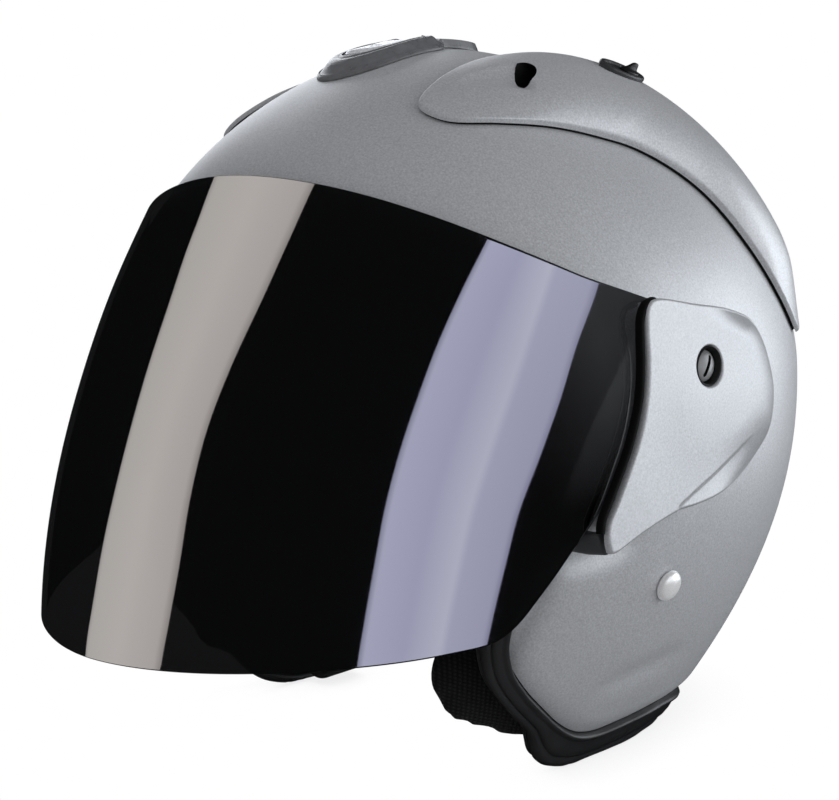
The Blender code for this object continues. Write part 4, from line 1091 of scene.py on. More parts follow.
def screw_pieces():
    """Slotted screw with a domed head, sunk in a dark cup."""
    centre = np.array([0.0, SCREW_Y, SCREW_Z])
    face_x = float(pod_face(POD_HOLE_CENTRE, 0.0, 0.0))
    tilt = 1.25  # angle of the dome's arc at its rim
    profile = [(0, 129.0), (5.0, 129.0), (5.25, 129.2), (5.25, face_x - 2.45)]
    for turn in np.linspace(tilt, 0.0, 10):
        rise = 1.5 * (math.cos(turn) - math.cos(tilt)) / (1 - math.cos(tilt))
        profile.append((5.0 * math.sin(turn) / math.sin(tilt), face_x - 2.2 + rise))
    screws = both("screw", *lathe(profile, centre, [1, 0, 0], around=64), SCREW_STEEL,
                  "dark_steel", sharp=40, replaces="cover_screw")

    # the slot: a bar with round ends
    angle = math.radians(62)
    half_length, radius = 3.1, 0.75
    along = np.array([0, math.cos(angle), math.sin(angle)])
    across = np.array([0, -math.sin(angle), math.cos(angle)])
    slot = []
    for x in (face_x - 1.9, face_x + 2.0):
        middle = centre + [x, 0, 0]
        for end, start in ((half_length, -math.pi / 2), (-half_length, math.pi / 2)):
            for turn in np.linspace(start, start + math.pi, 9):
                slot.append(middle + along * (end + radius * math.cos(turn))
                            + across * radius * math.sin(turn))
    slot = np.array(slot)
    n = len(slot) // 2
    faces = [tuple(range(n))[::-1], tuple(range(n, 2 * n))]
    faces += [(k, (k + 1) % n, n + (k + 1) % n, n + k) for k in range(n)]
    # the slot's walls take the near-black, as painted shade
    for screw, points in zip(screws, (slot, slot * MIRROR)):
        cut(screw, points, faces, HOLE_PAINTED_SHADE)
        screw.data.set_sharp_from_angle(angle=math.radians(35))

    # (radius, depth below the cover's face)
    cup = [(5.6, 3.6), (6.6, 3.6), (6.75, 3.4), (6.75, 0.35), (6.5, 0.12), (6.15, 0.35),
           (5.75, 3.2)]
    cup = [(radius, face_x - depth) for radius, depth in cup]
    both("screw_cup", *lathe(cup, centre, [1, 0, 0], around=64), PLASTIC_DARK, "dark_plastic",
         sharp=45)


screw_pieces()

# Rubber strip along the cover's front edge, near-black and matt so that it is also painted shadow
# for the gap to the visor, top to bottom: (y, z)
SEAL_LINE = [
    (-27.0, 36.6), (-31.0, 35.4), (-33.6, 31.0), (-34.1, 24), (-34.2, 17), (-35.4, 7),
    (-38.4, -2), (-42.8, -11), (-49.2, -20.6), (-55.4, -29.4), (-56.6, -32.2), (-57.0, -34.6),
]
SEAL_SHIFT = (-0.45, 0.1)
SEAL_WIDTH, SEAL_INNER_X, SEAL_OUTER_X = 1.9, 127.75, 130.9


def seal_piece():
    line = spline(np.array(SEAL_LINE) + SEAL_SHIFT, 120)
    across = quarter_turn(unit(np.gradient(line, axis=0)))
    # section: a rounded box
    turns = np.linspace(0, 2 * math.pi, 16, endpoint=False)
    wide, deep = (np.copysign(np.abs(wave) ** 0.6, wave) for wave in (np.cos(turns), np.sin(turns)))
    places = line[:, None] + across[:, None] * SEAL_WIDTH / 2 * wide[:, None]
    x = (SEAL_INNER_X + SEAL_OUTER_X) / 2 + (SEAL_OUTER_X - SEAL_INNER_X) / 2 * deep
    x = np.tile(x, (len(line), 1))[..., None]
    sections = np.concatenate([x, places], axis=-1)
    both("seal_lip", *sweep(sections, False), SEAL_RUBBER_SHADOW_GAP, "dark_rubber", sharp=60,
         replaces="cover_lip")


seal_piece()

# Block at the cover's front lower toe, outlines of its foot and cap: (y, z)
TOE_FOOT = [(-57.2, -37.4), (-56.4, -35.3), (-52.0, -35.8), (-49.9, -39.0), (-50.2, -43.0),
            (-53.4, -43.2), (-55.4, -41.0)]
TOE_CAP = [(-56.3, -37.3), (-56.1, -35.5), (-52.0, -35.9), (-49.9, -39.0), (-50.2, -42.2),
           (-52.8, -42.7), (-54.7, -40.2)]
# Rings of the rounded cap: (share of its outline, x)
TOE_CAP_RINGS = ((1.0, 126.2), (0.985, 126.7), (0.95, 127.05), (0.88, 127.2), (0.5, 127.25))


def toe_block():
    foot, cap = spline(TOE_FOOT, 72, closed=True), spline(TOE_CAP, 72, closed=True)
    rows = [np.column_stack([side_x(foot[:, 0], foot[:, 1]) - 2.6, foot]),
            np.column_stack([np.full(len(foot), 120.5), foot])]
    middle = cap.mean(axis=0)
    for share, x in TOE_CAP_RINGS:
        rows.append(np.column_stack([np.full(len(cap), x), middle + (cap - middle) * share]))
    both("toe_block", *sweep(rows, False), PLASTIC, "dark_plastic", sharp=50,
         replaces="shield_stop")


toe_block()


def rivet_piece():
    centre = np.array([float(side_x(RIVET_Y, RIVET_Z)), RIVET_Y, RIVET_Z])
    profile = [(0, -0.2), (4.9, -0.2), (5.1, 0.25), (5.45, 0.45), (5.6, 0.8), (5.5, 1.2)]
    profile += [(5.4 * math.sin(turn), 1.3 + 2.4 * math.cos(turn))
                for turn in np.linspace(1.5, 0.0, 16)]
    both("rivet", *lathe(profile, centre, normals(centre), around=64), RIVET, "chrome", sharp=50,
         replaces="strap_rivet")


rivet_piece()

# ------------------------------------------------------------------ crown vent
# Left halves of the plan outlines, front to back: (x, y)
VENT_HALF = [(0, -48.5), (6, -47.5), (12, -44), (16.5, -37.5), (18.6, -29.5), (19, -20.5),
             (18.6, -11.5), (16.5, -5), (12.2, -2.5), (11.2, 1.5), (11.4, 9.5), (10.4, 17.5),
             (6.5, 23), (0, 24.5)]
SLIDER_HALF = [(0, -36.8), (3.6, -36.4), (6.6, -34.3), (8.6, -30.7), (9.5, -26.0), (9.7, -21.5),
               (9.5, -17.9), (8.6, -16.5), (4, -16.3), (0, -16.3)]
VENT_CENTRE_Y, SLIDER_CENTRE_Y = -18.5, -25.5
SLIDER_SLOPE = math.tan(math.radians(11.2))  # the slider rises towards the back
SLIDER_TOP, SLIDER_BOTTOM = 4.9, 3.0  # above the dome, at the slider's centre


def outline_ring(half, count):
    """Closed outline from its half, which starts and ends on the middle plane."""
    return spline(half + [(-x, y) for x, y in half[-2:0:-1]], count, closed=True)


def polar_sheet(outline, centre_y, shares, height):
    """Sheet from near the centre out to the outline, at z = height(share, x, y)."""
    centre = np.array([0.0, centre_y])
    places = centre + (outline[:, None] - centre) * shares[:, None]
    x, y = places[..., 0], places[..., 1]
    return np.stack([x, y, height(shares, x, y)], -1)


def vent_bezel():
    """Rounded frame with a sunk tray and a low tongue at the back."""
    outline = outline_ring(VENT_HALF, 220)
    shares = np.concatenate([
        [0.15, 0.35, 0.5, 0.58, 0.62, 0.632, 0.645, 0.665, 0.69, 0.72, 0.76],
        np.linspace(0.79, 0.955, 12), [0.963, 0.972, 0.982, 0.99, 0.996, 1.0]])

    def top(share, x, y):
        body = 1 - smooth((y + 7.5) / 5.0)
        wall = 1 - smooth((share - 0.74) / 0.23) ** 1.6
        flange = smooth((1.0 - share) / 0.012) * 0.6
        frame_rise = (3.3 * wall - 0.4) * body * (share < 0.97)
        tongue = (1 - body) * 1.5 * smooth((1.0 - share) / 0.03)
        lift = 1.0 + 0.4 * (share < 0.975) + frame_rise + tongue + flange
        tray = (share < 0.635) & (y < -3.5)
        groove = 0.9 * bell((share - 0.70) / 0.018) * body
        return top_z(x, y) + np.where(tray, 2.0, lift - groove)

    outer = polar_sheet(outline, VENT_CENTRE_Y, shares, top)
    inner = polar_sheet(outline, VENT_CENTRE_Y, np.array([0.5, 1.0]),
                        lambda share, x, y: top_z(x, y) + 0.3)
    dome = float(top_z(0.0, VENT_CENTRE_Y))
    shape = pillow(np.array([0, VENT_CENTRE_Y, dome + 2.0]), outer,
                   np.array([0, VENT_CENTRE_Y, dome + 0.3]), inner)
    add("vent_bezel", *shape, VENT_PLASTIC, "dark_plastic", sharp=40, replaces="top_vent_base")


def vent_slider():
    """Sloping plate in the tray, with four dimples and a chevron groove."""
    outline = outline_ring(SLIDER_HALF, 160)
    shares = np.concatenate([np.linspace(0.06, 0.86, 24), [0.9, 0.93, 0.955, 0.975, 0.99, 1.0]])
    dome = float(top_z(0.0, SLIDER_CENTRE_Y))

    def plane(y):
        return dome + (y - SLIDER_CENTRE_Y) * SLIDER_SLOPE

    def top(share, x, y):
        edge = 1.1 * smooth((share - 0.86) / 0.14) ** 1.5
        z = plane(y) + SLIDER_TOP - edge - 0.010 * x**2
        for dimple_x in (-4.2, -1.5, 1.5, 4.2):
            back = y + 31.9 - 0.08 * dimple_x * dimple_x
            z = z - 0.7 * np.exp(-((((x - dimple_x) ** 2 + back**2) / 0.45**2) ** 2))
        chevron = np.exp(-(((y + 26.7 + 0.16 * np.abs(x)) / 0.55) ** 2))
        return z - 0.9 * chevron * smooth((6.6 - np.abs(x)) / 1.5)

    outer = polar_sheet(outline, SLIDER_CENTRE_Y, shares, top)
    inner = polar_sheet(outline, SLIDER_CENTRE_Y, np.array([0.5, 1.0]),
                        lambda share, x, y: plane(y) + SLIDER_BOTTOM - 0.006 * x**2)
    shape = pillow(np.array([0, SLIDER_CENTRE_Y, dome + SLIDER_TOP]), outer,
                   np.array([0, SLIDER_CENTRE_Y, dome + SLIDER_BOTTOM]), inner)
    add("vent_slider", *shape, SLIDER_PAINT, "silver_paint", sharp=50,
        replaces="top_vent_shutter", body="vent_shutter")


vent_bezel()
vent_slider()

# ------------------------------------------------------------------ diffusers
# Outline of the left wing, as directions from the shell's origin: (x, y, z)
WING_EDGE = [
    (51.5, -53, 103.5), (62.5, -50, 97.4), (72, -35, 96), (80, -13, 94), (84, 3, 90),
    (89, 20, 85), (97, 42, 70), (105, 59, 47), (107.5, 74, 27), (103.5, 88, 13), (100, 97, 24),
    (93, 103, 42), (81, 103, 62), (66, 96, 82), (52, 80, 99), (43, 60, 111), (39, 38, 119),
    (38, 15, 122), (41, -8, 121), (44.5, -29, 116), (47, -43, 110),
]
WING_POLE = np.array([72.0, 38.0, 96.0])
KNOB_WAY = np.array([60.5, 36.0, 106.0])
MOUTH_WAY = np.array([62.2, -14.0, 111.0])
WING_BASE, WING_GAP = 0.8, 1.15  # added to the lift; height of the underside over the shell
# Scoop ahead of the intake, front to back: (x, y)
SCOOP = [(53.0, -36.0), (55.6, -28.5), (58.6, -21.0), (61.8, -13.5)]
# Pocket of the intake: distance back, height over the shell, half width, half height
POCKET = (
    (-2.6, 11.2, 8.0, 3.4), (-1.6, 9.2, 7.9, 4.0), (0.0, 7.4, 7.7, 4.2), (2.6, 6.0, 7.2, 3.8),
    (6.0, 5.0, 6.2, 3.0), (9.5, 4.5, 4.6, 2.2), (12.0, 4.3, 2.4, 1.2),
)
wing_rim = unit(spline(WING_EDGE, 340, closed=True))


def wing_lift(points, share):
    """Height over the envelope: low in front, full behind, thin at the low tail."""
    y, z = points[..., 1], points[..., 2]
    grow = 0.24 + 0.76 * smooth((y + 52.0) / 62.0)
    tail = 1 - 0.75 * smooth((42.0 - z) / 34.0)
    crown = 1 - share**3.2
    rear = 0.5 * smooth((y - 70.0) / 30.0) * smooth((z - 30) / 20.0)
    return 2.0 + 8.6 * grow * tail * np.clip(crown + rear * (1 - crown), 0, 1)


def rear_share(points):
    return smooth(points[..., 1] / 70.0)


def intake_pocket():
    seat = on_shell(MOUTH_WAY)
    out = normals(seat)
    back = square_to(np.array([0.18, 1.0, 0.0]), out)
    wide = square_to(np.array([0.65, -0.59, -0.49]), out)
    turns = np.linspace(0, 2 * math.pi, 28, endpoint=False)[:, None]
    rows = []
    for distance, height, half_width, half_height in POCKET:
        rise = half_height * np.sin(turns)
        rows.append(seat + back * (distance + 0.35 * rise) + out * (height + rise)
                    + wide * half_width * np.cos(turns))
    return sweep(rows, False)


def wing_pieces():
    shares = 1 - (1 - np.linspace(0, 1, 92)[1:]) ** 1.35
    base = on_shell(slerp(WING_POLE, wing_rim, shares))
    lift = wing_lift(base, shares) + WING_BASE
    distance, along, _ = to_line(base[..., :2], SCOOP)
    width = 2.2 + 5.2 * along
    ends = smooth(along / 0.12) * smooth((1 - along) / 0.06)
    lift = lift - (0.5 + 3.4 * along) * smooth(1.3 - distance / width) * ends
    # rounded lip
    from_rim = np.linalg.norm(base - base[:, -1:], axis=-1)
    lip = np.clip(1 - from_rim / 1.6, 0, 1)
    lift = lift - 1.5 * (1 - np.sqrt(np.clip(1 - lip**2, 0, 1)))
    outer = base + normals(base) * lift[..., None]
    under = on_shell(slerp(WING_POLE, wing_rim, [0.5, 0.9, 0.975, 1.0]))
    inner = under + normals(under) * (WING_GAP + 0.5 * rear_share(under))[..., None]
    top = on_shell(WING_POLE)
    out = normals(top)
    shape = pillow(top + out * (wing_lift(top, 0.0) + WING_BASE), outer, top + out * WING_GAP,
                   inner)
    wings = both("wing", *shape, PAINT, "silver_paint", sharp=60, replaces="diffuser")
    pocket = intake_pocket()
    # the intake pocket's walls take the near-black, as painted shade
    for wing, cutter in zip(wings, (pocket, mirrored(*pocket))):
        cut(wing, *cutter, HOLE_PAINTED_SHADE)
        wing.data.set_sharp_from_angle(angle=math.radians(45))


def wing_gasket():
    base = on_shell(slerp(WING_POLE, wing_rim, [0.955, 0.962, 0.985, 0.992]))
    lift = np.full(base.shape[:2], 0.2)
    lift[:, 1:3] = (1.0 + 0.45 * rear_share(base))[:, 1:3]
    rows = (base + normals(base) * lift[..., None]).transpose(1, 0, 2)
    # the gasket is a real strip, but its black is partly painted shadow for the gap under the wing's
    # edge
    both("wing_gasket", *sweep(rows, True), SEAL_RUBBER_SHADOW_GAP, "dark_rubber", sharp=50,
         replaces="diffuser_gasket")


wing_pieces()
wing_gasket()

# Stations of both: height, half length, half width, shift back
KNOB_BEZEL = (
    (-0.8, 11.2, 6.2, 0), (0.5, 11.5, 6.5, 0), (1.2, 11.4, 6.4, 0), (1.6, 11.0, 6.0, 0),
    (1.7, 10.5, 5.5, 0), (1.55, 10.0, 5.0, 0), (0.9, 9.6, 4.6, 0), (0.7, 9.2, 4.2, 0),
    (0.7, 4.0, 2.0, 0),
)
KNOB_FIN = (
    (0.95, 4.4, 3.3, 4.0), (1.5, 4.4, 3.3, 4.0), (1.9, 4.1, 3.0, 4.0), (2.1, 3.6, 2.4, 4.0),
    (2.5, 3.0, 1.5, 4.1), (3.1, 2.6, 1.15, 4.4), (3.9, 2.1, 0.95, 4.8), (4.6, 1.6, 0.8, 5.1),
    (4.95, 0.9, 0.5, 5.3),
)


def knob_pieces():
    """An oval bezel on each wing and the sliding plate with a fin in it."""
    seat = on_shell(KNOB_WAY)
    out = normals(seat)
    along = square_to(np.array([0.12, 1.0, 0.0]), out)
    place = seat + out * 11.2, along, np.cross(out, along), out
    both("knob_bezel", *ellipse_stack(*place, KNOB_BEZEL, around=72), PLASTIC, "dark_plastic",
         sharp=50, replaces="diffuser_bezel")
    both("knob_fin", *ellipse_stack(*place, KNOB_FIN, around=40), PLASTIC_DARK, "dark_plastic",
         sharp=50, replaces="diffuser_knob", bodies=("knob_left", "knob_right"))


knob_pieces()

# ------------------------------------------------------------------ straps and rings
STRAP_Y0, STRAP_Y1 = -17.5, 4.5
STRAP_MIDDLE, STRAP_HALF = (STRAP_Y0 + STRAP_Y1) / 2, (STRAP_Y1 - STRAP_Y0) / 2
STRAP_THICK = 1.3
RING_X, RING_Z = 52.8, -103.0
CURL_RADIUS = 3.2
# Half of the webbing's section: (share of the half width, share of the half thickness)
WEB_SECTION = np.array([(-1, 0.35), (-0.96, 0.8), (-0.85, 1.0), (-0.5, 0.92), (0, 0.96),
                        (0.5, 0.92), (0.85, 1.0), (0.96, 0.8), (1, 0.35)])
# Lines of the webbing: (x, z)
STRAP_TURN = [(74.6, -125.4), (71.0, -128.2), (66.0, -129.2), (60.5, -127.6), (57.0, -122.5)]
SHORT_END = [(56.2, -112.0), (56.0, -103.5)]
LONG_END = [(56.2, -112.0), (56.0, -104), (54.5, -97.0), (49.5, -95.0), (46.0, -99.0),
            (45.2, -108.0), (45.0, -119.0)]


def band(line):
    """Webbing along an x-z line."""
    side = quarter_turn(unit(np.gradient(line, axis=0)))
    section = np.concatenate([WEB_SECTION, WEB_SECTION[::-1] * [1, -1]])
    thick = STRAP_THICK / 2 * section[:, 1]
    flat = line[:, None] + side[:, None] * thick[:, None]
    y = np.tile(STRAP_MIDDLE + STRAP_HALF * section[:, 0], (len(line), 1))
    return sweep(np.stack([flat[..., 0], y, flat[..., 1]], -1), False)


def strap_pieces():
    """The left strap ends in a loop round the rings; the right one goes over and hangs down."""
    wall = []
    for z in (-57, -68, -80, -92, -104, -114, -121):
        inset = 9.7 + 2.4 * float(smooth((-z - 90.0) / 22.0))
        wall.append((float(side_x(RIVET_Y, z)) - inset, z))
    turns = np.linspace(math.radians(10), math.radians(292), 40)
    curl = np.stack([RING_X + CURL_RADIUS * np.cos(turns), RING_Z + CURL_RADIUS * np.sin(turns)], -1)
    short = spline(wall + STRAP_TURN + SHORT_END, 110)
    add("strap_web_left", *band(np.concatenate([short[:-1], curl])), WEBBING, "black_webbing",
        sharp=60, replaces="chin_strap_left")
    long = spline(wall + STRAP_TURN + LONG_END, 150)
    add("strap_web_right", *mirrored(*band(long)), WEBBING, "black_webbing", sharp=60,
        replaces="chin_strap_right")


def d_ring(name, x_centre, lean, body, node):
    """Wire D ring: a straight base, rounded corners and an arched top."""
    half, tall, wire, corner = 14.6, 17.0, 0.95, 2.5
    arch_start = 4.5
    path = [(x, 0) for x in np.linspace(-half + corner, half - corner, 14)]
    path += [(half - corner + corner * math.sin(turn), corner - corner * math.cos(turn))
             for turn in np.linspace(0.2, math.pi / 2, 8)]
    path += [(half * math.cos(turn), arch_start + (tall - arch_start) * math.sin(turn))
             for turn in np.linspace(0.0, math.pi, 44)]
    path += [(-half + corner - corner * math.sin(turn), corner - corner * math.cos(turn))
             for turn in np.linspace(math.pi / 2, 0.2, 8)]
    path = np.array(path)
    out = quarter_turn(loop_run(path))
    turns = 2 * math.pi * np.arange(14) / 14
    flat = path[:, None] + out[:, None] * wire * np.cos(turns)[:, None]
    lift = wire * np.sin(turns)
    rings = np.stack([
        x_centre + lift * math.cos(lean) + flat[..., 1] * math.sin(lean),
        STRAP_MIDDLE + flat[..., 0],
        RING_Z + flat[..., 1] * math.cos(lean) - lift * math.sin(lean)], -1)
    add(name, *sweep(rings, True), CHROME, "chrome", sharp=80, replaces=node, body=body)


strap_pieces()
for which, side in (("outer", 1), ("inner", -1)):
    d_ring(f"ring_wire_{which}", RING_X + side * 1.15, lean=side * math.radians(9),
           body=f"ring_{which}", node=f"d_ring_{which}")


# ------------------------------------------------------------------ pads
def puff(node, name, mat, cap, voxel):
    """Cloth inflated from a CAD solid; `cap` limits how far it moves, in metres."""
    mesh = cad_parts[node].data.copy()
    mesh.name = name
    made = bpy.data.objects.new(name, mesh)
    scene.collection.objects.link(made)
    mesh.materials.clear()
    mesh.materials.append(mat)
    shrink = made.modifiers.new("shrink", "DISPLACE")
    shrink.strength = -0.0008
    shrink.mid_level = 0
    remesh = made.modifiers.new("remesh", "REMESH")
    remesh.mode = "VOXEL"
    remesh.voxel_size = voxel
    bake(made)
    rest = vertex_places(made.data)
    cloth = made.modifiers.new("cloth", "CLOTH")
    cloth.settings.quality = 4
    cloth.settings.mass = 0.15
    cloth.settings.use_pressure = True
    cloth.settings.uniform_pressure_force = 4.0
    cloth.settings.effector_weights.gravity = 0
    cloth.collision_settings.use_collision = False
    scene.frame_set(1)
    for step in range(1, 19):
        scene.frame_set(step)
    graph = bpy.context.evaluated_depsgraph_get()
    moved = vertex_places(made.evaluated_get(graph).data)
    made.modifiers.clear()
    scene.frame_set(1)
    # a simulation that blew up leaves the pad at rest
    if moved.shape == rest.shape and np.isfinite(moved).all():
        delta = moved - rest
        size = np.linalg.norm(delta, axis=1, keepdims=True)
        delta *= np.minimum(1.0, cap / np.maximum(size, 1e-9))
        made.data.vertices.foreach_set("co", (rest + delta).ravel())
        made.data.update()
    return made


def pad(node, name, mat, cap, voxel, seams=(), seam_depth=1.6, seam_width=2.0, inset=0.8,
        reach=0.0, calm=0):
    """A puffed pad with its seams pressed in, kept `inset` below the shell's inner face.
    `reach` pulls its lower front down; `calm` is a number of smoothing passes."""
    made = puff(node, name, mat, cap, voxel)
    if calm:
        even = made.modifiers.new("even", "SMOOTH")
        even.factor, even.iterations = 0.5, calm
    sub = made.modifiers.new("sub", "SUBSURF")
    sub.levels = sub.render_levels = 1
    bake(made)
    places = to_shell(vertex_places(made.data))
    made.data.update()
    facing = np.array([vertex.normal for vertex in made.data.vertices], float)
    for seam in seams:
        distance, _, _ = to_line(places, seam)
        places -= facing * (seam_depth * bell(distance / seam_width))[:, None]
    if reach:
        x, y, z = places.T
        soft = smooth((-z - 52.0) / 34.0) * smooth((-y + 2.0) / 44.0)
        soft *= 1 - 0.45 * smooth((-y - 40.0) / 22.0)
        side = np.sign(x)
        pull = np.stack([-0.15 * side, 0 * side - 0.20, 0 * side - 0.85], -1)
        places += pull * (reach * soft)[:, None]
    limit = -SHELL_WALL - inset
    over = level(places, limit) > 0
    if over.any():
        places[over] = on_shell(places[over], limit)
    places[:, 2] = np.maximum(places[:, 2], -BASE_DROP + 3.0)
    made.data.vertices.foreach_set("co", from_shell(places).ravel())
    smooth_faces(made.data)
    made.data.update()
    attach(made, "helmet")
    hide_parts(node)


# Seam round the cheek pad: (azimuth in degrees, z)
CHEEK_SEAM = [(74, -50), (70, -70), (72, -90), (80, -102), (94, -100), (99, -84), (97, -64),
              (86, -50)]
CHEEK_SEAM_INSET = 32
CROWN_INSET = 26.6  # below the shell's inner face
CROWN_SEAM_DROP = 11.4  # below that again


def pad_pieces():
    for sign, tag in ((1, "left"), (-1, "right")):
        seam = spline([at_azimuth(azimuth, z, -SHELL_WALL - CHEEK_SEAM_INSET) * [sign, 1, 1]
                       for azimuth, z in CHEEK_SEAM], 60, closed=True)
        seam = np.concatenate([seam, seam[:1]])
        pad("cheek_pad_" + tag, "cheek_cushion_" + tag, AIR_MESH, cap=0.0028, voxel=0.0042,
            seams=[seam], seam_width=1.8, reach=6.5, calm=8)
    depth = SHELL_WALL + CROWN_INSET + CROWN_SEAM_DROP
    seams = [on_shell([[x, y, 90.0] for y in np.linspace(-70, 80, 24)], -depth)
             for x in (-30, 0, 30)]
    pad("crown_pad", "crown_cushion", AIR_MESH, cap=0.003, voxel=0.0045, seams=seams,
        inset=CROWN_INSET + 1.0)
    pad("neck_roll", "neck_cushion", BRUSHED, cap=0.0022, voxel=0.004, inset=0.6)


pad_pieces()

# ------------------------------------------------------------------ CAD nodes that stay
KEPT_NODES = (
    ("eps_liner", FOAM),
    ("pivot_hub_left", PLASTIC_DARK), ("pivot_hub_right", PLASTIC_DARK),
    ("pivot_plate_left", STEEL), ("pivot_plate_right", STEEL),
    ("strap_anchor_left", STEEL), ("strap_anchor_right", STEEL),
)
for node, mat in KEPT_NODES:
    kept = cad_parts[node].data
    kept.materials.clear()
    kept.materials.append(mat)
    if node == "eps_liner":
        smooth_faces(kept)
        kept.set_sharp_from_angle(angle=math.radians(40))


# ------------------------------------------------------------------ floor and world
def floor_material():
    """Pale floor that the camera sees as plain white, with a soft contact shade."""
    n = Nodes("floor_white")
    matt = n.principled(Base_Color=(0.90, 0.90, 0.90), Roughness=0.9, Specular_IOR_Level=0.1)
    near = n.new("AmbientOcclusion")
    near.inputs["Distance"].default_value = 0.05
    near.samples = 8
    glow = n.new("Emission")
    n.put(glow.inputs[0], n.fade(near.outputs["AO"], start=0.05, end=0.50,
                                 low=(0.80, 0.80, 0.81), high=(1.0, 1.0, 1.0)))
    camera_ray = n.new("LightPath").outputs["Is Camera Ray"]
    return n.finish(n.mix_shader(camera_ray, matt, glow.outputs[0]))


def floor_piece():
    half = 30  # metres
    corners = [(-half, -half, 0), (half, -half, 0), (half, half, 0), (-half, half, 0)]
    mesh = bpy.data.meshes.new("floor")
    mesh.from_pydata(corners, [], [(0, 1, 2, 3)])
    mesh.materials.append(floor_material())
    floor = bpy.data.objects.new("floor", mesh)
    floor.location = (0, 0, -0.0005)
    scene.collection.objects.link(floor)
    floor.visible_glossy = False


def studio_world():
    """White to the camera, nearly black in reflections, soft white light for the rest."""
    world = bpy.data.worlds.new("studio")
    scene.world = world
    world.use_nodes = True
    tree = world.node_tree
    tree.nodes.clear()
    path = tree.nodes.new("ShaderNodeLightPath")

    def background(colour, strength):
        made = tree.nodes.new("ShaderNodeBackground")
        made.inputs[0].default_value = (*colour, 1)
        made.inputs[1].default_value = strength
        return made.outputs[0]

    def choose(ray, otherwise, when_true):
        made = tree.nodes.new("ShaderNodeMixShader")
        for socket, source in zip(made.inputs, (path.outputs[ray], otherwise, when_true)):
            tree.links.new(source, socket)
        return made.outputs[0]

    seen = background(colour=(1, 1, 1), strength=1.0)
    soft = background(colour=(0.97, 0.975, 1.0), strength=0.96)
    dark = background(colour=(0.9, 0.95, 1.0), strength=0.006)
    unseen = choose("Is Glossy Ray", soft, dark)
    output = tree.nodes.new("ShaderNodeOutputWorld")
    tree.links.new(choose("Is Camera Ray", unseen, seen), output.inputs[0])


floor_piece()
studio_world()

# ------------------------------------------------------------------ lamps
# The lamps skip the visor, which mirrors only its own panels.
not_visor = bpy.data.collections.new("lit_not_visor")
not_visor.objects.link(visor)
not_visor.collection_objects[0].light_linking.link_state = "EXCLUDE"
only_visor = bpy.data.collections.new("lit_visor_only")
only_visor.objects.link(visor)


def area(name, azimuth, elevation, size, power, colour):
    """Square soft lamp 1.6 m off, at degrees round from the front towards the wearer's left."""
    lamp = bpy.data.lights.new(name, "AREA")
    lamp.shape = "RECTANGLE"
    lamp.size = lamp.size_y = size
    lamp.energy = power
    lamp.color = colour
    made = bpy.data.objects.new(name, lamp)
    turn, tilt = math.radians(azimuth), math.radians(elevation)
    way = Vector((math.sin(turn) * math.cos(tilt), -math.cos(turn) * math.cos(tilt),
                  math.sin(tilt)))
    made.location = Vector((0, 0.01, 0.13)) + way * 1.6
    made.rotation_mode = "QUATERNION"
    made.rotation_quaternion = way.to_track_quat("Z", "Y")
    made.visible_camera = False
    scene.collection.objects.link(made)
    made.light_linking.receiver_collection = not_visor


area("side_low", azimuth=90, elevation=8, size=1.0, power=4.2, colour=(0.93, 0.97, 1.0))
area("side_rear", azimuth=126, elevation=2, size=1.0, power=4.4, colour=(0.92, 0.96, 1.0))
area("back_right", azimuth=150, elevation=2, size=1.0, power=9.4, colour=(0.90, 0.95, 1.0))
area("rim_left", azimuth=-120, elevation=25, size=0.8, power=5.5, colour=(0.92, 0.95, 1.0))


# ------------------------------------------------------------------ camera
def camera_piece():
    data = bpy.data.cameras.new("camera")
    data.sensor_width = 36.0
    data.lens = 69.888915
    data.shift_x = -0.0247794994
    data.shift_y = -0.0245053635
    data.clip_start, data.clip_end = 0.01, 100
    camera = bpy.data.objects.new("camera", data)
    scene.collection.objects.link(camera)
    right = Vector((0.69465837, 0.71758752, -0.05017861))
    up = Vector((-0.05643875, 0.12391094, 0.99068701))
    back = Vector((0.71712232, -0.685357, 0.12657552))
    camera.rotation_mode = "QUATERNION"
    camera.rotation_quaternion = Matrix((right, up, back)).transposed().to_quaternion()
    camera.location = (0.45896, -0.42806, 0.21300)
    scene.camera = camera


camera_piece()

# ------------------------------------------------------------------ panels mirrored in the visor
# Each panel's edges are drawn where they show on the visor's face, top to bottom: (x, z) in mm.
# They are placed where the camera's sight lines end up after they reflect there.
PANEL_EYE = np.array([458.96, -438.63, 81.0])  # the camera in the shell frame
PANEL_DISTANCE = 1700
PANEL_ROWS, PANEL_COLUMNS = 60, 13
WARM_EDGES = (
    [(-4.5, 80), (0.1, 63.5), (4.3, 42.9), (6.1, 22.8), (6.9, 2.2), (6.4, -17.9), (4.6, -38.9),
     (2.5, -54.6), (-0.5, -69)],
    [(42.6, 79.3), (43.0, 61.4), (42.4, 42.9), (40.1, 23.5), (38.2, 3.5), (37.9, -15.9),
     (38.0, -36.0), (36.5, -53.4), (34.0, -69)],
)
COOL_EDGES = (
    [(95.5, 58.6), (94.6, 43.7), (93.2, 28.8), (91.5, 12.8), (90.1, -3.8), (89.5, -19.7),
     (89.4, -36.3), (89.0, -51.4), (88.3, -66)],
    [(117.2, 42.3), (117.4, 25.6), (116.5, 7.5), (115.2, -8.3), (113.9, -25.0),
     (113.6, -39.7), (113.2, -52.9), (112.8, -64.7)],
)
# Colours across a panel: (share, colour)
WARM_STOPS = [(0.0, (0.30, 0.28, 0.27)), (0.06, (0.42, 0.40, 0.38)), (0.5, (0.46, 0.43, 0.41)),
              (0.92, (0.40, 0.37, 0.36)), (1.0, (0.25, 0.23, 0.22))]
COOL_STOPS = [(0.0, (0.20, 0.20, 0.28)), (0.05, (0.36, 0.365, 0.49)),
              (0.35, (0.32, 0.325, 0.45)), (0.62, (0.41, 0.415, 0.51)),
              (0.68, (0.33, 0.335, 0.45)), (0.95, (0.30, 0.305, 0.41)), (1.0, (0.2, 0.2, 0.3))]


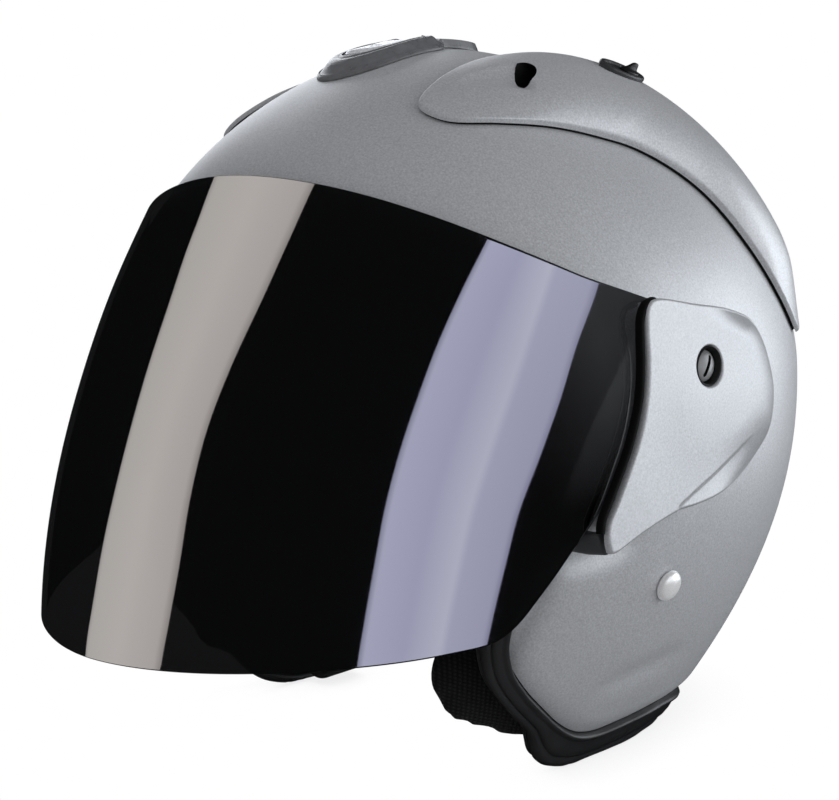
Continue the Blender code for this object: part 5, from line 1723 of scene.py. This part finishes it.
def bounce(x, z):
    """From the eye to the visor's face at (x, z), then out to the panels' sphere."""
    low, high = -float(shield_front(z)) + 0.5, 0.0
    for _ in range(40):
        y = (low + high) / 2
        if shield_x(y, z) < abs(x):
            low = y
        else:
            high = y
    point = np.array([x, y, z])
    normal = slope(visor_level, point, step=1e-3)
    sight = unit(point - PANEL_EYE)
    mirror = sight - 2 * (sight @ normal) * normal
    along = point @ mirror
    reach = -along + math.sqrt(along * along - point @ point + PANEL_DISTANCE**2)
    return point + mirror * reach


def panel_edge(places):
    """Smooth panel edge, carried on a little at both ends."""
    line = np.array([bounce(x, z) for x, z in places])
    before = line[0] + (line[0] - line[1]) * 0.8
    after = line[-1] + (line[-1] - line[-2]) * 0.8
    return spline(np.vstack([before, line, after]), PANEL_ROWS)


def glow_material(name, stops, strength):
    n = Nodes(name)
    across = n.new("Attribute")
    across.attribute_name = "across"
    emit = n.new("Emission")
    n.put(emit.inputs[0], n.ramp(across.outputs["Fac"], stops))
    emit.inputs[1].default_value = strength
    return n.finish(emit.outputs[0])


def panel(name, edges, stops, strength):
    """Glowing sheet between two edges, seen only in the visor's reflection."""
    left, right = (panel_edge(places)[:, None] for places in edges)
    share = np.linspace(0, 1, PANEL_COLUMNS)
    grid = left * (1 - share)[None, :, None] + right * share[None, :, None]
    faces = []
    for i in range(PANEL_ROWS - 1):
        here, there = i * PANEL_COLUMNS, (i + 1) * PANEL_COLUMNS
        faces += [(here + j, there + j, there + j + 1, here + j + 1)
                  for j in range(PANEL_COLUMNS - 1)]
    mesh = bpy.data.meshes.new(name)
    mesh.from_pydata(from_shell(grid.reshape(-1, 3)).tolist(), [], faces)
    mesh.materials.append(glow_material(name, stops, strength))
    values = mesh.attributes.new("across", "FLOAT", "POINT")
    values.data.foreach_set("value", np.tile(share, PANEL_ROWS).astype(np.float32))
    made = bpy.data.objects.new(name, mesh)
    scene.collection.objects.link(made)
    made.visible_camera = made.visible_diffuse = False
    made.visible_shadow = made.visible_transmission = False
    made.light_linking.receiver_collection = only_visor


panel("panel_warm", WARM_EDGES, WARM_STOPS, strength=2.3)
panel("panel_cool", COOL_EDGES, COOL_STOPS, strength=2.45)

scene.view_settings.view_transform = "Standard"
scene.view_settings.look = "None"
